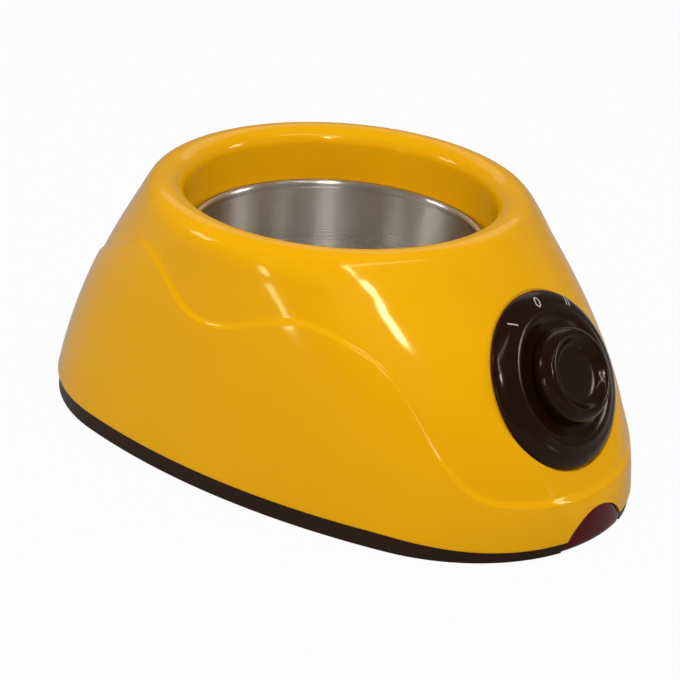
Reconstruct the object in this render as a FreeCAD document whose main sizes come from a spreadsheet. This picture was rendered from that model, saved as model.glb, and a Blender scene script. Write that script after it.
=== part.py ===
import FreeCAD, Part
import math
import os
import re

import PartDesign
import Sketcher

# Chocolate melting pot: an egg-shaped plastic housing with a round collar, a lift-out
# aluminium pot in an electrically heated dish, a rotary dial on the nose and a lamp lens.
# Millimetres. +Z is up, the dial looks towards -Y, and the origin is on the table under
# the middle of the housing.

SIZES = {
    # housing outline at the parting line, an oval of four arcs
    "length": 200.0,
    "side_radius": 222.3,
    "rear_radius": 59.9,
    "front_radius": 55.5,
    # housing height and the way its sections turn from the oval into the round collar
    "part_line": 6.0,
    "lip_level": 76.8,
    "lip_radius": 54.25,
    "lip_width": 6.25,
    "lip_rise": 5.2,
    "pot_offset": 5.4,
    "straightness": 0.29,
    "fullness": 2.05,
    "lean": 1.7,
    "shell_wall": 2.4,
    "relief": 0.8,
    "collar_wall": 2.4,
    "collar_foot": 62.8,
    "throat_foot_share": 0.27,
    "throat_shoulder_share": 0.54,
    "cut_over": 1.0,
    # lift-out pot
    "pot_clearance": 0.7,
    "pot_rim_rise": 2.9,
    "pot_rim_width": 2.7,
    "pot_rim_round": 1.2,
    "pot_wall": 1.0,
    "pot_depth": 40.0,
    "pot_taper": 2.5,
    "pot_corner": 9.0,
    # heated dish, its gasket and its screws
    "rest_gap": 0.3,
    "dish_gap": 0.5,
    "dish_wall": 0.8,
    "dish_flange": 6.4,
    "gasket_height": 0.8,
    "gasket_width": 3.2,
    "ear_circle": 55.5,
    "ear_radius": 4.2,
    "dish_boss_radius": 3.6,
    "screw_radius": 1.3,
    "screw_gap": 0.05,
    "screw_head_radius": 2.8,
    "screw_head_height": 1.8,
    "dish_screw_length": 9.0,
    # heater stack under the dish
    "stud_circle": 25.0,
    "stud_radius": 1.5,
    "stud_length": 12.6,
    "mica_thickness": 0.5,
    "heater_thickness": 1.2,
    "heater_radius": 33.0,
    "heater_hole": 13.0,
    "clamp_thickness": 1.0,
    "nut_height": 2.4,
    "nut_radius": 3.2,
    "shield_radius": 40.0,
    "shield_thickness": 0.6,
    "spacer_height": 2.6,
    "spacer_radius": 2.7,
    # thermostat, its bracket and the thermal fuse
    "thermostat_cap_radius": 8.2,
    "thermostat_body_radius": 7.2,
    "thermostat_body_height": 7.2,
    "bracket_length": 40.0,
    "bracket_width": 18.0,
    "bracket_thickness": 0.8,
    "bracket_screw_reach": 17.0,
    "fuse_radius": 1.9,
    "fuse_length": 13.0,
    "fuse_reach": 17.0,
    "clip_width": 6.0,
    "clip_depth": 8.0,
    "clip_wall": 0.4,
    # dial, switch and their seat on the nose
    "dial_setback": 21.1,
    "dial_level": 45.4,
    "dial_tilt": 30.67,
    "dial_radius": 26.8,
    "dial_gap": 0.6,
    "seat_drop": 1.5,
    "skirt_edge": 0.5,
    "skirt_crown": 4.0,
    "skirt_plate": 1.8,
    "ridge_radius": 19.5,
    "valley_width": 1.2,
    "valley_drop": 0.2,
    "knob_radius": 14.2,
    "knob_foot_radius": 13.0,
    "knob_flare": 2.8,
    "knob_top": 10.6,
    "knob_round": 1.8,
    "knob_face_radius": 11.2,
    "knob_dish": 1.4,
    "knob_dish_radius": 9.4,
    "hub_radius": 5.5,
    "shaft_radius": 3.0,
    "shaft_depth": 9.0,
    "run_gap": 0.05,
    "fit_gap": 0.02,
    "bush_radius": 4.7,
    "bush_rise": 0.9,
    "switch_width": 20.0,
    "switch_depth": 13.0,
    "switch_nut_radius": 6.9,
    "switch_nut_height": 2.2,
    "blade_width": 6.3,
    "blade_thickness": 0.8,
    "blade_length": 7.0,
    "blade_root": 1.0,
    "blade_pitch": 9.0,
    # base plate, feet and base screws
    "foot_stand": 1.0,
    "foot_radius": 6.0,
    "foot_height": 2.2,
    "foot_place": 30.0,
    "foot_setback": 26.0,
    "floor_thickness": 2.4,
    "band_inset": 0.8,
    "band_wall": 2.2,
    "rim_wall": 2.0,
    "rim_rise": 5.1,
    "rim_draft": 0.6,
    "base_screw_place": 44.0,
    "base_screw_setback": 48.0,
    "base_screw_length": 12.0,
    "base_boss_radius": 4.2,
    "sleeve_radius": 5.0,
    "head_recess": 2.2,
    "slot_length": 30.0,
    "slot_width": 2.5,
    "slot_pitch": 7.0,
    # indicator lens and lamp
    "lens_half_width": 14.0,
    "lens_height": 11.0,
    "lens_depth": 10.0,
    "lens_lean": 0.9,
    "lens_flange_reach": 2.0,
    "lens_flange_drop": 0.8,
    "lens_flange_thickness": 1.2,
    "lens_gap": 0.3,
    "lamp_radius": 3.0,
    "lamp_length": 11.0,
    "lamp_level": 8.4,
    "lamp_setback": 6.0,
    "holder_width": 10.0,
    "holder_depth": 8.0,
    "holder_wall": 1.5,
    # cord inlet and terminals
    "inlet_level": 20.0,
    "inlet_setback": 3.7,
    "inlet_tilt": 16.5,
    "inlet_bore": 3.2,
    "inlet_barrel": 4.2,
    "inlet_flange": 5.5,
    "inlet_flange_thickness": 1.2,
    "inlet_length": 9.0,
    "terminal_setback": 28.0,
    "terminal_width": 30.0,
    "terminal_depth": 14.0,
    "terminal_height": 12.0,
    "terminal_pitch": 9.0,
    "terminal_screw_radius": 2.0,
    "terminal_screw_length": 5.0,
    "terminal_screw_drop": 1.0,
    "terminal_wire_hole": 1.6,
    "lead_radius": 0.9,
    "lead_entry": 2.0,
}

# Formulas of the sizes that several pieces share
WELL_RADIUS = "(lip_radius - lip_width)"
SHOULDER_RADIUS = "(lip_radius + lip_width)"
FLANGE_TOP = "(collar_foot - gasket_height)"
THROAT = f"(lip_level - {FLANGE_TOP})"
POT_RIM = "(collar_foot + pot_rim_rise)"
POT_OUTER = "(lip_radius - lip_width - pot_clearance)"
POT_INNER = "(lip_radius - lip_width - pot_clearance - pot_rim_width)"
POT_FLOOR = f"({POT_RIM} - pot_depth)"
DISH_FLOOR = f"({POT_FLOOR} - pot_wall - rest_gap)"
DISH_UNDER = f"({DISH_FLOOR} - dish_wall)"
HEATER_TOP = f"({DISH_UNDER} - mica_thickness)"
LOWER_MICA_TOP = f"({HEATER_TOP} - heater_thickness)"
CLAMP_TOP = f"({LOWER_MICA_TOP} - mica_thickness)"
CLAMP_UNDER = f"({CLAMP_TOP} - clamp_thickness)"
FUSE_LEVEL = f"({CLAMP_UNDER} - clip_wall - fit_gap - fuse_radius)"
SHIELD_TOP = f"({CLAMP_UNDER} - nut_height - spacer_height)"
SEAT_UNDER = "(seat_drop + shell_wall)"
LENS_BACK = "(shell_wall + relief / 2 + rest_gap)"
DIAL_Y = "(dial_setback - length / 2)"
FLOOR_TOP = "(foot_stand + floor_thickness)"
WAY_LEVEL = f"({FLOOR_TOP} + terminal_height / 3)"
NOSE_CENTRE = "(length / 2 - front_radius)"
TERMINAL_Y = "(length / 2 - terminal_setback)"
FOOT_Y = "(length / 2 - foot_setback)"
BASE_SCREW_Y = "(length / 2 - base_screw_setback)"
TAIL_CENTRE = "(length / 2 - rear_radius)"
ROUND_ANGLES = (90, 210, 330)
FOUR_CORNERS = ((1, 1), (-1, 1), (-1, -1), (1, -1))
ARC_SHARE = 0.45
SECTION_RISES = (0, 0.25, 0.5, 0.75, 0.99)
FADE_POWER = 8
VENT_STEPS = range(-3, 4)
EDGE_MATCH = 0.01
FIRST_TURN = 60

# Crest line of the moulded wave on the housing's side, as shares of the half length and of
# the lip's level, from the tail over both humps and the trough between them to the nose
WAVE = (
    (1.10, 0.40), (0.86, 0.52), (0.70, 0.66), (0.575, 0.742), (0.446, 0.838), (0.324, 0.881),
    (0.243, 0.833), (0.141, 0.737), (0.055, 0.705), (-0.057, 0.729), (-0.162, 0.783),
    (-0.285, 0.818), (-0.413, 0.777), (-0.572, 0.650), (-0.701, 0.438), (-0.805, 0.289),
    (-0.910, 0.238), (-1.10, 0.215),
)

doc = FreeCAD.newDocument("melting_pot")
sheet = doc.addObject("Spreadsheet::Sheet", "Sizes")
nodes = []


def fill_sheet():
    """Write the driving sizes into the spreadsheet, one named cell each."""
    for row, (name, number) in enumerate(SIZES.items(), start=1):
        sheet.set(f"A{row}", name)
        sheet.set(f"B{row}", str(number))
        sheet.setAlias(f"B{row}", name)
    doc.recompute()


def tie(formula):
    """Turn the size names in a formula into references to the sheet's cells."""
    return re.sub(r"[a-z_]+", lambda word: f"Sizes.{word[0]}" if word[0] in SIZES else word[0], formula)


def size(formula):
    """Work out a formula of size names as a number."""
    return float(sheet.evalExpression(tie(formula)))


def bind(item, **formulas):
    """Bind an object's properties to formulas; a double underscore stands for a dot."""
    for path, formula in formulas.items():
        item.setExpression(path.replace("__", "."), tie(formula))


def keep(item, label):
    """Make an object one of the exported sub-parts."""
    item.Label = label
    nodes.append(item)
    return item


# Sketches

def sketch_on(body, name, level="0", plane="XY_Plane"):
    """Add a sketch on one of the body's origin planes, raised by a formula."""
    sketch = body.newObject("Sketcher::SketchObject", name)
    support = next(item for item in body.Origin.OriginFeatures if item.Role == plane)
    sketch.AttachmentSupport = (support, "")
    sketch.MapMode = "FlatFace"
    sketch.setExpression("AttachmentOffset.Base.z", tie(level))
    return sketch


def fix(sketch, kind, references, formula):
    """Add a dimension to a sketch and bind it to a formula."""
    index = sketch.addConstraint(Sketcher.Constraint(kind, *references, size(formula)))
    name = f"size_{index}"
    sketch.renameConstraint(index, name)
    sketch.setExpression(f"Constraints.{name}", tie(formula))


def draw_circle(sketch, radius, x="0", y="0"):
    """Draw a circle whose centre and radius are formulas."""
    centre = FreeCAD.Vector(size(x), size(y), 0)
    index = sketch.addGeometry(Part.Circle(centre, FreeCAD.Vector(0, 0, 1), size(radius)))
    fix(sketch, "Radius", (index,), radius)
    fix(sketch, "DistanceX", (-1, 1, index, 3), x)
    fix(sketch, "DistanceY", (-1, 1, index, 3), y)


def draw_ellipse(sketch, half_width, half_height, x="0", y="0"):
    """Draw an upright ellipse; the longer half axis may be either of the two."""
    wide = size(half_width) > size(half_height)
    centre = FreeCAD.Vector(size(x), size(y), 0)
    side = centre + FreeCAD.Vector(size(half_width), 0, 0)
    top = centre + FreeCAD.Vector(0, size(half_height), 0)
    ends = (side, top) if wide else (top, side)
    curve = sketch.addGeometry(Part.Ellipse(*ends, centre))
    sketch.exposeInternalGeometry(curve)
    major = curve + 1
    minor = curve + 2
    sketch.addConstraint(Sketcher.Constraint("Horizontal" if wide else "Vertical", major))
    fix(sketch, "Distance", (major,), f"2 * ({half_width if wide else half_height})")
    fix(sketch, "Distance", (minor,), f"2 * ({half_height if wide else half_width})")
    fix(sketch, "DistanceX", (-1, 1, curve, 3), x)
    fix(sketch, "DistanceY", (-1, 1, curve, 3), y)


def draw_outline(sketch, points):
    """Draw a closed outline of straight lines through points given as formulas."""
    places = [FreeCAD.Vector(size(x), size(y), 0) for x, y in points]
    lines = []
    for here, there in zip(places, places[1:] + places[:1]):
        lines.append(sketch.addGeometry(Part.LineSegment(here, there)))
    for line, following in zip(lines, lines[1:] + lines[:1]):
        sketch.addConstraint(Sketcher.Constraint("Coincident", line, 2, following, 1))
    for line, (x, y) in zip(lines, points):
        fix(sketch, "DistanceX", (-1, 1, line, 1), x)
        fix(sketch, "DistanceY", (-1, 1, line, 1), y)


def draw_oval(sketch, rise, inset="0"):
    """Draw the housing's section at a rise from 0, the parting line, to 1, the round lip.

    Each section is four tangent arcs. Their centres and radii move in proportion from the
    oval of the parting line to the circle of the lip.
    """
    share = f"(straightness * {rise} + (1 - straightness) * {rise} ^ fullness)"
    shift = f"({share} * pot_offset - lean * 4 * {rise} * (1 - {rise}))"
    tail = f"((1 - {share}) * {TAIL_CENTRE} + {shift})"
    nose = f"((1 - {share}) * {NOSE_CENTRE} - {shift})"

    def radius(name):
        return f"(1 - {share}) * {name} + {share} * {SHOULDER_RADIUS} - ({inset})"

    span = size(f"{TAIL_CENTRE} + {NOSE_CENTRE}")
    to_tail = size("side_radius - rear_radius")
    to_nose = size("side_radius - front_radius")
    behind = (span ** 2 + to_tail ** 2 - to_nose ** 2) / (2 * span)
    reach = math.sqrt(to_tail ** 2 - behind ** 2)
    tail_turn = math.atan2(reach, behind)
    nose_turn = math.pi - math.atan2(reach, span - behind)
    flank_y = size(tail) - (1 - size(share)) * behind
    flank_x = (1 - size(share)) * reach
    quarter = math.pi / 2
    arcs = (
        (0, size(tail), "rear_radius", quarter - tail_turn, quarter + tail_turn),
        (flank_x, flank_y, "side_radius", quarter + tail_turn, quarter + nose_turn),
        (0, -size(nose), "front_radius", quarter + nose_turn, 5 * quarter - nose_turn),
        (-flank_x, flank_y, "side_radius", quarter - nose_turn, quarter - tail_turn),
    )
    drawn = []
    for x, y, name, start, end in arcs:
        circle = Part.Circle(FreeCAD.Vector(x, y, 0), FreeCAD.Vector(0, 0, 1), size(radius(name)))
        drawn.append(sketch.addGeometry(Part.ArcOfCircle(circle, start, end)))
    rear, left, front, right = drawn
    for arc, following in zip(drawn, drawn[1:] + drawn[:1]):
        sketch.addConstraint(Sketcher.Constraint("Tangent", arc, 2, following, 1))
    sketch.addConstraint(Sketcher.Constraint("PointOnObject", rear, 3, -2))
    sketch.addConstraint(Sketcher.Constraint("PointOnObject", front, 3, -2))
    sketch.addConstraint(Sketcher.Constraint("Equal", left, right))
    fix(sketch, "Radius", (rear,), radius("rear_radius"))
    fix(sketch, "Radius", (front,), radius("front_radius"))
    fix(sketch, "Radius", (left,), radius("side_radius"))
    fix(sketch, "DistanceY", (-1, 1, rear, 3), tail)
    fix(sketch, "DistanceY", (front, 3, -1, 1), nose)


# Features of a body

def new_body(name, on_axis=False):
    """Start a body; on_axis puts its own Z axis through the middle of the pot."""
    body = doc.addObject("PartDesign::Body", name)
    if on_axis:
        bind(body, Placement__Base__y="pot_offset")
    return body


def pad(body, sketch, height, downwards=False):
    """Raise a sketch into the body."""
    feature = body.newObject("PartDesign::Pad", f"{sketch.Name}_pad")
    feature.Profile = sketch
    feature.Reversed = downwards
    bind(feature, Length=height)
    doc.recompute()
    return feature


def pocket(body, sketch, depth):
    """Cut a sketch into the body, upwards from the sketch, and check that it removes metal."""
    before = body.Shape.Volume
    feature = body.newObject("PartDesign::Pocket", f"{sketch.Name}_pocket")
    feature.Profile = sketch
    feature.Reversed = True
    bind(feature, Length=depth)
    doc.recompute()
    if body.Shape.Volume >= before:
        raise ValueError(f"{feature.Name} cuts nothing")
    return feature


def revolve(body, sketch):
    """Turn a sketch about the body's upright axis."""
    feature = body.newObject("PartDesign::Revolution", f"{sketch.Name}_turn")
    feature.Profile = sketch
    feature.ReferenceAxis = (sketch, ["V_Axis"])
    feature.Angle = 360
    doc.recompute()
    return feature


def turned_body(name, points, on_axis=False):
    """Make a body by turning an outline of radius and level formulas."""
    body = new_body(name, on_axis)
    sketch = sketch_on(body, f"{name}_profile", plane="XZ_Plane")
    draw_outline(sketch, points)
    revolve(body, sketch)
    return body


def round_circles(body, radius, places):
    """Round the circular edges at the given radius and level formulas."""
    wanted = [(size(r), size(level)) for r, level in places]
    base = body.Tip
    names = []
    for number, edge in enumerate(base.Shape.Edges, start=1):
        if not isinstance(edge.Curve, Part.Circle):
            continue
        ring = (edge.Curve.Radius, edge.Curve.Center.z)
        if any(math.dist(ring, place) < EDGE_MATCH for place in wanted):
            names.append(f"Edge{number}")
    feature = body.newObject("PartDesign::Fillet", f"{body.Name}_round_{len(body.Group)}")
    feature.Base = (base, names)
    bind(feature, Radius=radius)
    doc.recompute()
    return feature


# Simple solids and booleans

def cylinder(name, radius, height, x="0", y="0", z="0"):
    """Make an upright cylinder whose sizes and place are formulas."""
    item = doc.addObject("Part::Cylinder", name)
    bind(item, Radius=radius, Height=height, Placement__Base__x=x)
    bind(item, Placement__Base__y=y, Placement__Base__z=z)
    return item


def block(name, width, depth, height, x="0", y="0", z="0"):
    """Make a block standing on z, centred on x and y."""
    item = doc.addObject("Part::Box", name)
    bind(item, Length=width, Width=depth, Height=height)
    bind(item, Placement__Base__x=f"{x} - ({width}) / 2")
    bind(item, Placement__Base__y=f"{y} - ({depth}) / 2", Placement__Base__z=z)
    return item


def fuse(name, items):
    """Join solids into one."""
    item = doc.addObject("Part::MultiFuse", name)
    item.Shapes = items
    return item


def cut(name, base, tool):
    """Take one solid away from another."""
    item = doc.addObject("Part::Cut", name)
    item.Base = base
    item.Tool = tool
    return item


def common(name, first, second):
    """Keep what two solids share."""
    item = doc.addObject("Part::MultiCommon", name)
    item.Shapes = [first, second]
    return item


def group(name, items):
    """Put identical separate solids in one sub-part."""
    item = doc.addObject("Part::Compound", name)
    item.Links = items
    return item


def on_ring(circle, angle):
    """Give the x and y formulas of a place on a circle around the pot's axis."""
    return f"{circle} * cos({angle})", f"{circle} * sin({angle})"


def around_pot(circle):
    """Give the three x and y formulas round the pot's axis, in the row frame."""
    places = []
    for angle in ROUND_ANGLES:
        x, y = on_ring(circle, angle)
        places.append((x, f"pot_offset + {y}"))
    return places


def dial_point(x, y, rise):
    """Give the row-frame formulas of a point on the nose: y up the slope, rise out of it."""
    across = f"({y}) * sin(dial_tilt) - ({rise}) * cos(dial_tilt)"
    above = f"({y}) * cos(dial_tilt) + ({rise}) * sin(dial_tilt)"
    return x, f"{DIAL_Y} + {across}", f"dial_level + {above}"


def in_dial_frame(item, x="0", y="0", rise="0"):
    """Place an object on the nose, with its Z axis along the dial's."""
    turn = FreeCAD.Rotation(FreeCAD.Vector(1, 0, 0), FIRST_TURN)
    item.Placement = FreeCAD.Placement(FreeCAD.Vector(), turn)
    across, along, above = dial_point(x, y, rise)
    bind(item, Placement__Rotation__Angle="90 - dial_tilt", Placement__Base__x=across)
    bind(item, Placement__Base__y=along, Placement__Base__z=above)
    return item


def lying(item, axis, turn, x="0", y="0", z="0"):
    """Lay a cylinder down by a turn about an axis and put its end at a place."""
    item.Placement = FreeCAD.Placement(FreeCAD.Vector(), FreeCAD.Rotation(FreeCAD.Vector(*axis), turn))
    bind(item, Placement__Base__x=x, Placement__Base__y=y, Placement__Base__z=z)
    return item


def along_x(name, radius, length, x, y, z):
    """Make a cylinder that lies along X from its end at x."""
    item = cylinder(name, radius, length)
    return lying(item, (0, 1, 0), 90, x, y, z)


def along_y(name, radius, length, x, y, z):
    """Make a cylinder that lies along Y from its end at y."""
    item = cylinder(name, radius, length)
    return lying(item, (1, 0, 0), -90, x, y, z)


def in_inlet_frame(item, rise="0"):
    """Place an object on the tail wall, with its Z axis out of the cord inlet."""
    turn = FreeCAD.Rotation(FreeCAD.Vector(1, 0, 0), -FIRST_TURN)
    item.Placement = FreeCAD.Placement(FreeCAD.Vector(), turn)
    bind(item, Placement__Rotation__Angle="inlet_tilt - 90")
    bind(item, Placement__Base__y=f"length / 2 - inlet_setback + ({rise}) * cos(inlet_tilt)")
    bind(item, Placement__Base__z=f"inlet_level + ({rise}) * sin(inlet_tilt)")
    return item


# Housing

def lofted_form(name, inset, fading="0"):
    """Loft the housing's sections, each smaller by the inset and by what fades out at the lip."""
    body = new_body(name)
    sketches = []
    for number, rise in enumerate(SECTION_RISES):
        level = f"part_line + {rise} * (lip_level - part_line)"
        sketch = sketch_on(body, f"{name}_section_{number}", level)
        draw_oval(sketch, rise, f"{inset} + {fading} * (1 - {rise} ^ {FADE_POWER})")
        sketches.append(sketch)
    doc.recompute()
    loft = body.newObject("PartDesign::AdditiveLoft", f"{name}_loft")
    loft.Profile = sketches[0]
    loft.Sections = sketches[1:]
    doc.recompute()
    return body


def add_lip(body, name, inset):
    """Add the rounded lip, an ellipse turned about the pot's axis."""
    lip = new_body(name, on_axis=True)
    sketch = sketch_on(lip, f"{name}_profile", plane="XZ_Plane")
    draw_ellipse(sketch, f"lip_width - ({inset})", f"lip_rise - ({inset})", "lip_radius", "lip_level")
    revolve(lip, sketch)
    return fuse(f"{body.Name}_with_lip", [body, lip])


def below_wave():
    """Make the block under the wave line, cut to its crest curve in side view."""
    points = [FreeCAD.Vector(0, along * size("length / 2"), up * size("lip_level")) for along, up in WAVE]
    crest = Part.BSplineCurve()
    crest.interpolate(points)
    low = size("part_line - cut_over")
    first = points[0]
    last = points[-1]
    corner_a = FreeCAD.Vector(0, last.y, low)
    corner_b = FreeCAD.Vector(0, first.y, low)
    lines = [Part.makeLine(last, corner_a), Part.makeLine(corner_a, corner_b), Part.makeLine(corner_b, first)]
    face = Part.Face(Part.Wire([crest.toShape()] + lines))
    half_width = size("length / 2")
    face.translate(FreeCAD.Vector(-half_width, 0, 0))
    item = doc.addObject("Part::Feature", "below_wave")
    item.Shape = face.extrude(FreeCAD.Vector(2 * half_width, 0, 0))
    return item


def arch(name, wider="0", taller="0"):
    """Make the arch-shaped prism of the lens, wider and taller than its window."""
    body = new_body(name)
    sketch = sketch_on(body, f"{name}_profile", "length / 2 - lens_depth", "XZ_Plane")
    draw_ellipse(sketch, f"lens_half_width + {wider}", f"lens_height + {taller}", "0", "foot_stand")
    pad(body, sketch, "lens_depth + 2 * cut_over")
    return body


def lens_ring(name, outer, thickness, foot, top):
    """Turn a slice of the nose's wall about the nose arc's centre."""
    points = [
        (f"front_radius - {outer} - {thickness}", foot),
        (f"front_radius - {outer}", foot),
        (f"front_radius - {outer}", "part_line"),
        (f"front_radius - {outer} - lens_lean", top),
        (f"front_radius - {outer} - {thickness} - lens_lean", top),
        (f"front_radius - {outer} - {thickness}", "part_line"),
    ]
    body = turned_body(name, points)
    bind(body, Placement__Base__y=f"-{NOSE_CENTRE}")
    return body


def housing_form():
    """Make the housing's outside: loft, lip, the raised skirt under the wave and the flat nose."""
    smooth = add_lip(lofted_form("outer_form", "0", "relief"), "outer_lip", "0")
    skirt = common("wave_skirt", lofted_form("skirt_form", "0"), below_wave())
    full = fuse("outer_full", [smooth, skirt])
    facet = block("nose_facet", "length", "length", "length")
    in_dial_frame(facet, "-length / 2", "-length / 2")
    return cut("outer_faceted", full, facet)


def housing_core():
    """Make the housing's hollow, leaving out the collar, the bosses and the dial's seat."""
    hollow = add_lip(lofted_form("inner_form", "shell_wall + relief / 2"), "inner_lip", "shell_wall")
    throat = turned_body("lip_throat", [
        (f"{WELL_RADIUS} + collar_wall", f"{FLANGE_TOP} + throat_foot_share * {THROAT}"),
        (f"{SHOULDER_RADIUS} - shell_wall", f"{FLANGE_TOP} + throat_shoulder_share * {THROAT}"),
        (f"{SHOULDER_RADIUS} - shell_wall", "lip_level"),
        (f"{WELL_RADIUS} + collar_wall", "lip_level"),
    ], on_axis=True)
    room = fuse("core_room", [hollow, throat])
    stays = [cylinder("collar_stay", f"{WELL_RADIUS} + collar_wall", "lip_level - collar_foot",
                      y="pot_offset", z="collar_foot")]
    for number, (x, y) in enumerate(around_pot("ear_circle")):
        stays.append(cylinder(f"dish_boss_{number}", "dish_boss_radius", f"lip_level - {FLANGE_TOP}",
                              x, y, FLANGE_TOP))
    for number, (sign_x, sign_y) in enumerate(FOUR_CORNERS):
        stays.append(cylinder(f"base_boss_{number}", "base_boss_radius", "lip_level - part_line",
                              f"{sign_x} * base_screw_place", f"{sign_y} * {BASE_SCREW_Y}", "part_line"))
    seat = cylinder("dial_seat", "dial_radius + dial_gap + shell_wall", "length / 4")
    stays.append(in_dial_frame(seat, rise=f"-{SEAT_UNDER}"))
    backing = block("facet_backing", "length", "length", "length")
    stays.append(in_dial_frame(backing, "-length / 2", "-length / 2", "-shell_wall"))
    return cut("core", room, fuse("core_stays", stays))


def make_housing():
    """Make the housing shell with its openings."""
    shell = cut("housing_plain", housing_form(), housing_core())
    openings = [cylinder("well", WELL_RADIUS, "2 * lip_rise + lip_level - collar_foot",
                         y="pot_offset", z="collar_foot - cut_over")]
    recess = cylinder("dial_recess", "dial_radius + dial_gap", "length / 4")
    openings.append(in_dial_frame(recess, rise="-seat_drop"))
    shaft_way = cylinder("bush_way", "bush_radius + rest_gap", f"{SEAT_UNDER} + cut_over")
    openings.append(in_dial_frame(shaft_way, rise=f"-{SEAT_UNDER} - cut_over / 2"))
    openings.append(arch("lens_window", "lens_gap", "lens_gap"))
    cord_way = cylinder("cord_way", "inlet_barrel + screw_gap", "3 * inlet_length")
    openings.append(in_inlet_frame(cord_way, "-1.5 * inlet_length"))
    for number, (x, y) in enumerate(around_pot("ear_circle")):
        openings.append(cylinder(f"dish_pilot_{number}", "screw_radius + screw_gap",
                                 "dish_screw_length + cut_over / 2", x, y, FLANGE_TOP))
    for number, (sign_x, sign_y) in enumerate(FOUR_CORNERS):
        openings.append(cylinder(f"base_pilot_{number}", "screw_radius + screw_gap",
                                 "base_screw_length", f"{sign_x} * base_screw_place",
                                 f"{sign_y} * {BASE_SCREW_Y}", "part_line"))
    keep(cut("housing_cut", shell, fuse("housing_openings", openings)), "housing_shell")


# Pot, dish and heater

def make_pot():
    """Make the lift-out aluminium pot with its rolled rim."""
    bottom_outer = f"({POT_INNER} + pot_wall - pot_taper)"
    body = turned_body("pot_body", [
        ("0", f"{POT_FLOOR} - pot_wall"),
        (bottom_outer, f"{POT_FLOOR} - pot_wall"),
        (f"{POT_INNER} + pot_wall", f"{FLANGE_TOP} + rest_gap"),
        (POT_OUTER, f"{FLANGE_TOP} + rest_gap"),
        (POT_OUTER, POT_RIM),
        (POT_INNER, POT_RIM),
        (f"{bottom_outer} - pot_wall", POT_FLOOR),
        ("0", POT_FLOOR),
    ], on_axis=True)
    round_circles(body, "pot_corner", [(bottom_outer, f"{POT_FLOOR} - pot_wall")])
    round_circles(body, "pot_corner - pot_wall", [(f"{bottom_outer} - pot_wall", POT_FLOOR)])
    round_circles(body, "pot_rim_round", [(POT_OUTER, POT_RIM), (POT_INNER, POT_RIM)])
    keep(body, "pot")


def make_dish():
    """Make the heated dish: a pan with a flange, three ears and three studs."""
    top_inner = f"({POT_INNER} + pot_wall + dish_gap)"
    bottom_inner = f"({top_inner} - pot_taper)"
    body = turned_body("dish_body", [
        ("0", DISH_UNDER),
        (f"{bottom_inner} + dish_wall", DISH_UNDER),
        (f"{top_inner} + dish_wall", f"{FLANGE_TOP} - dish_wall"),
        (f"{top_inner} + dish_flange", f"{FLANGE_TOP} - dish_wall"),
        (f"{top_inner} + dish_flange", FLANGE_TOP),
        (top_inner, FLANGE_TOP),
        (bottom_inner, DISH_FLOOR),
        ("0", DISH_FLOOR),
    ], on_axis=True)
    round_circles(body, "pot_corner + dish_wall", [(f"{bottom_inner} + dish_wall", DISH_UNDER)])
    round_circles(body, "pot_corner", [(bottom_inner, DISH_FLOOR)])
    ears = sketch_on(body, "dish_ears", f"{FLANGE_TOP} - dish_wall")
    studs = sketch_on(body, "dish_studs", f"{DISH_UNDER} + dish_wall / 2")
    holes = sketch_on(body, "dish_holes", f"{FLANGE_TOP} - dish_wall - cut_over")
    for angle in ROUND_ANGLES:
        draw_circle(ears, "ear_radius", *on_ring("ear_circle", angle))
        draw_circle(studs, "stud_radius", *on_ring("stud_circle", angle))
        draw_circle(holes, "screw_radius + screw_gap", *on_ring("ear_circle", angle))
    pad(body, ears, "dish_wall")
    pad(body, studs, "stud_length + dish_wall / 2", downwards=True)
    pocket(body, holes, "dish_wall + 2 * cut_over")
    keep(body, "heating_dish")


def make_gasket():
    """Make the silicone ring between the dish's flange and the collar."""
    inner = f"{WELL_RADIUS} + rest_gap"
    keep(turned_body("gasket_body", [
        (inner, FLANGE_TOP),
        (f"{inner} + gasket_width", FLANGE_TOP),
        (f"{inner} + gasket_width", "collar_foot"),
        (inner, "collar_foot"),
    ], on_axis=True), "dish_gasket")


def screw(name, length, x, y, seat, upwards=True):
    """Make a round-headed screw whose head sits under its seat level."""
    head_z = f"{seat} - screw_head_height" if upwards else seat
    shank_z = seat if upwards else f"{seat} - {length}"
    head = cylinder(f"{name}_head", "screw_head_radius", "screw_head_height", x, y, head_z)
    shank = cylinder(f"{name}_shank", "screw_radius", length, x, y, shank_z)
    return fuse(name, [head, shank])


def make_screws():
    """Make the dish's and the base plate's screws."""
    dish = []
    for number, (x, y) in enumerate(around_pot("ear_circle")):
        dish.append(screw(f"dish_screw_{number}", "dish_screw_length", x, y, f"{FLANGE_TOP} - dish_wall"))
    keep(group("dish_screw_group", dish), "dish_screws")
    base = []
    for number, (sign_x, sign_y) in enumerate(FOUR_CORNERS):
        base.append(screw(f"base_screw_{number}", "base_screw_length", f"{sign_x} * base_screw_place",
                          f"{sign_y} * {BASE_SCREW_Y}", "foot_stand + head_recess"))
    keep(group("base_screw_group", base), "base_screws")


def stack_ring(label, outer, top, thickness, hole_radius="stud_radius + screw_gap", extra=()):
    """Make one flat ring of the heater stack, with its three stud holes."""
    body = new_body(f"{label}_body", on_axis=True)
    sketch = sketch_on(body, f"{label}_sketch", f"{top} - {thickness}")
    draw_circle(sketch, outer)
    draw_circle(sketch, "heater_hole")
    for angle in ROUND_ANGLES:
        draw_circle(sketch, hole_radius, *on_ring("stud_circle", angle))
    for x, y, radius in extra:
        draw_circle(sketch, radius, x, y)
    pad(body, sketch, thickness)
    return keep(body, label)


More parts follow.
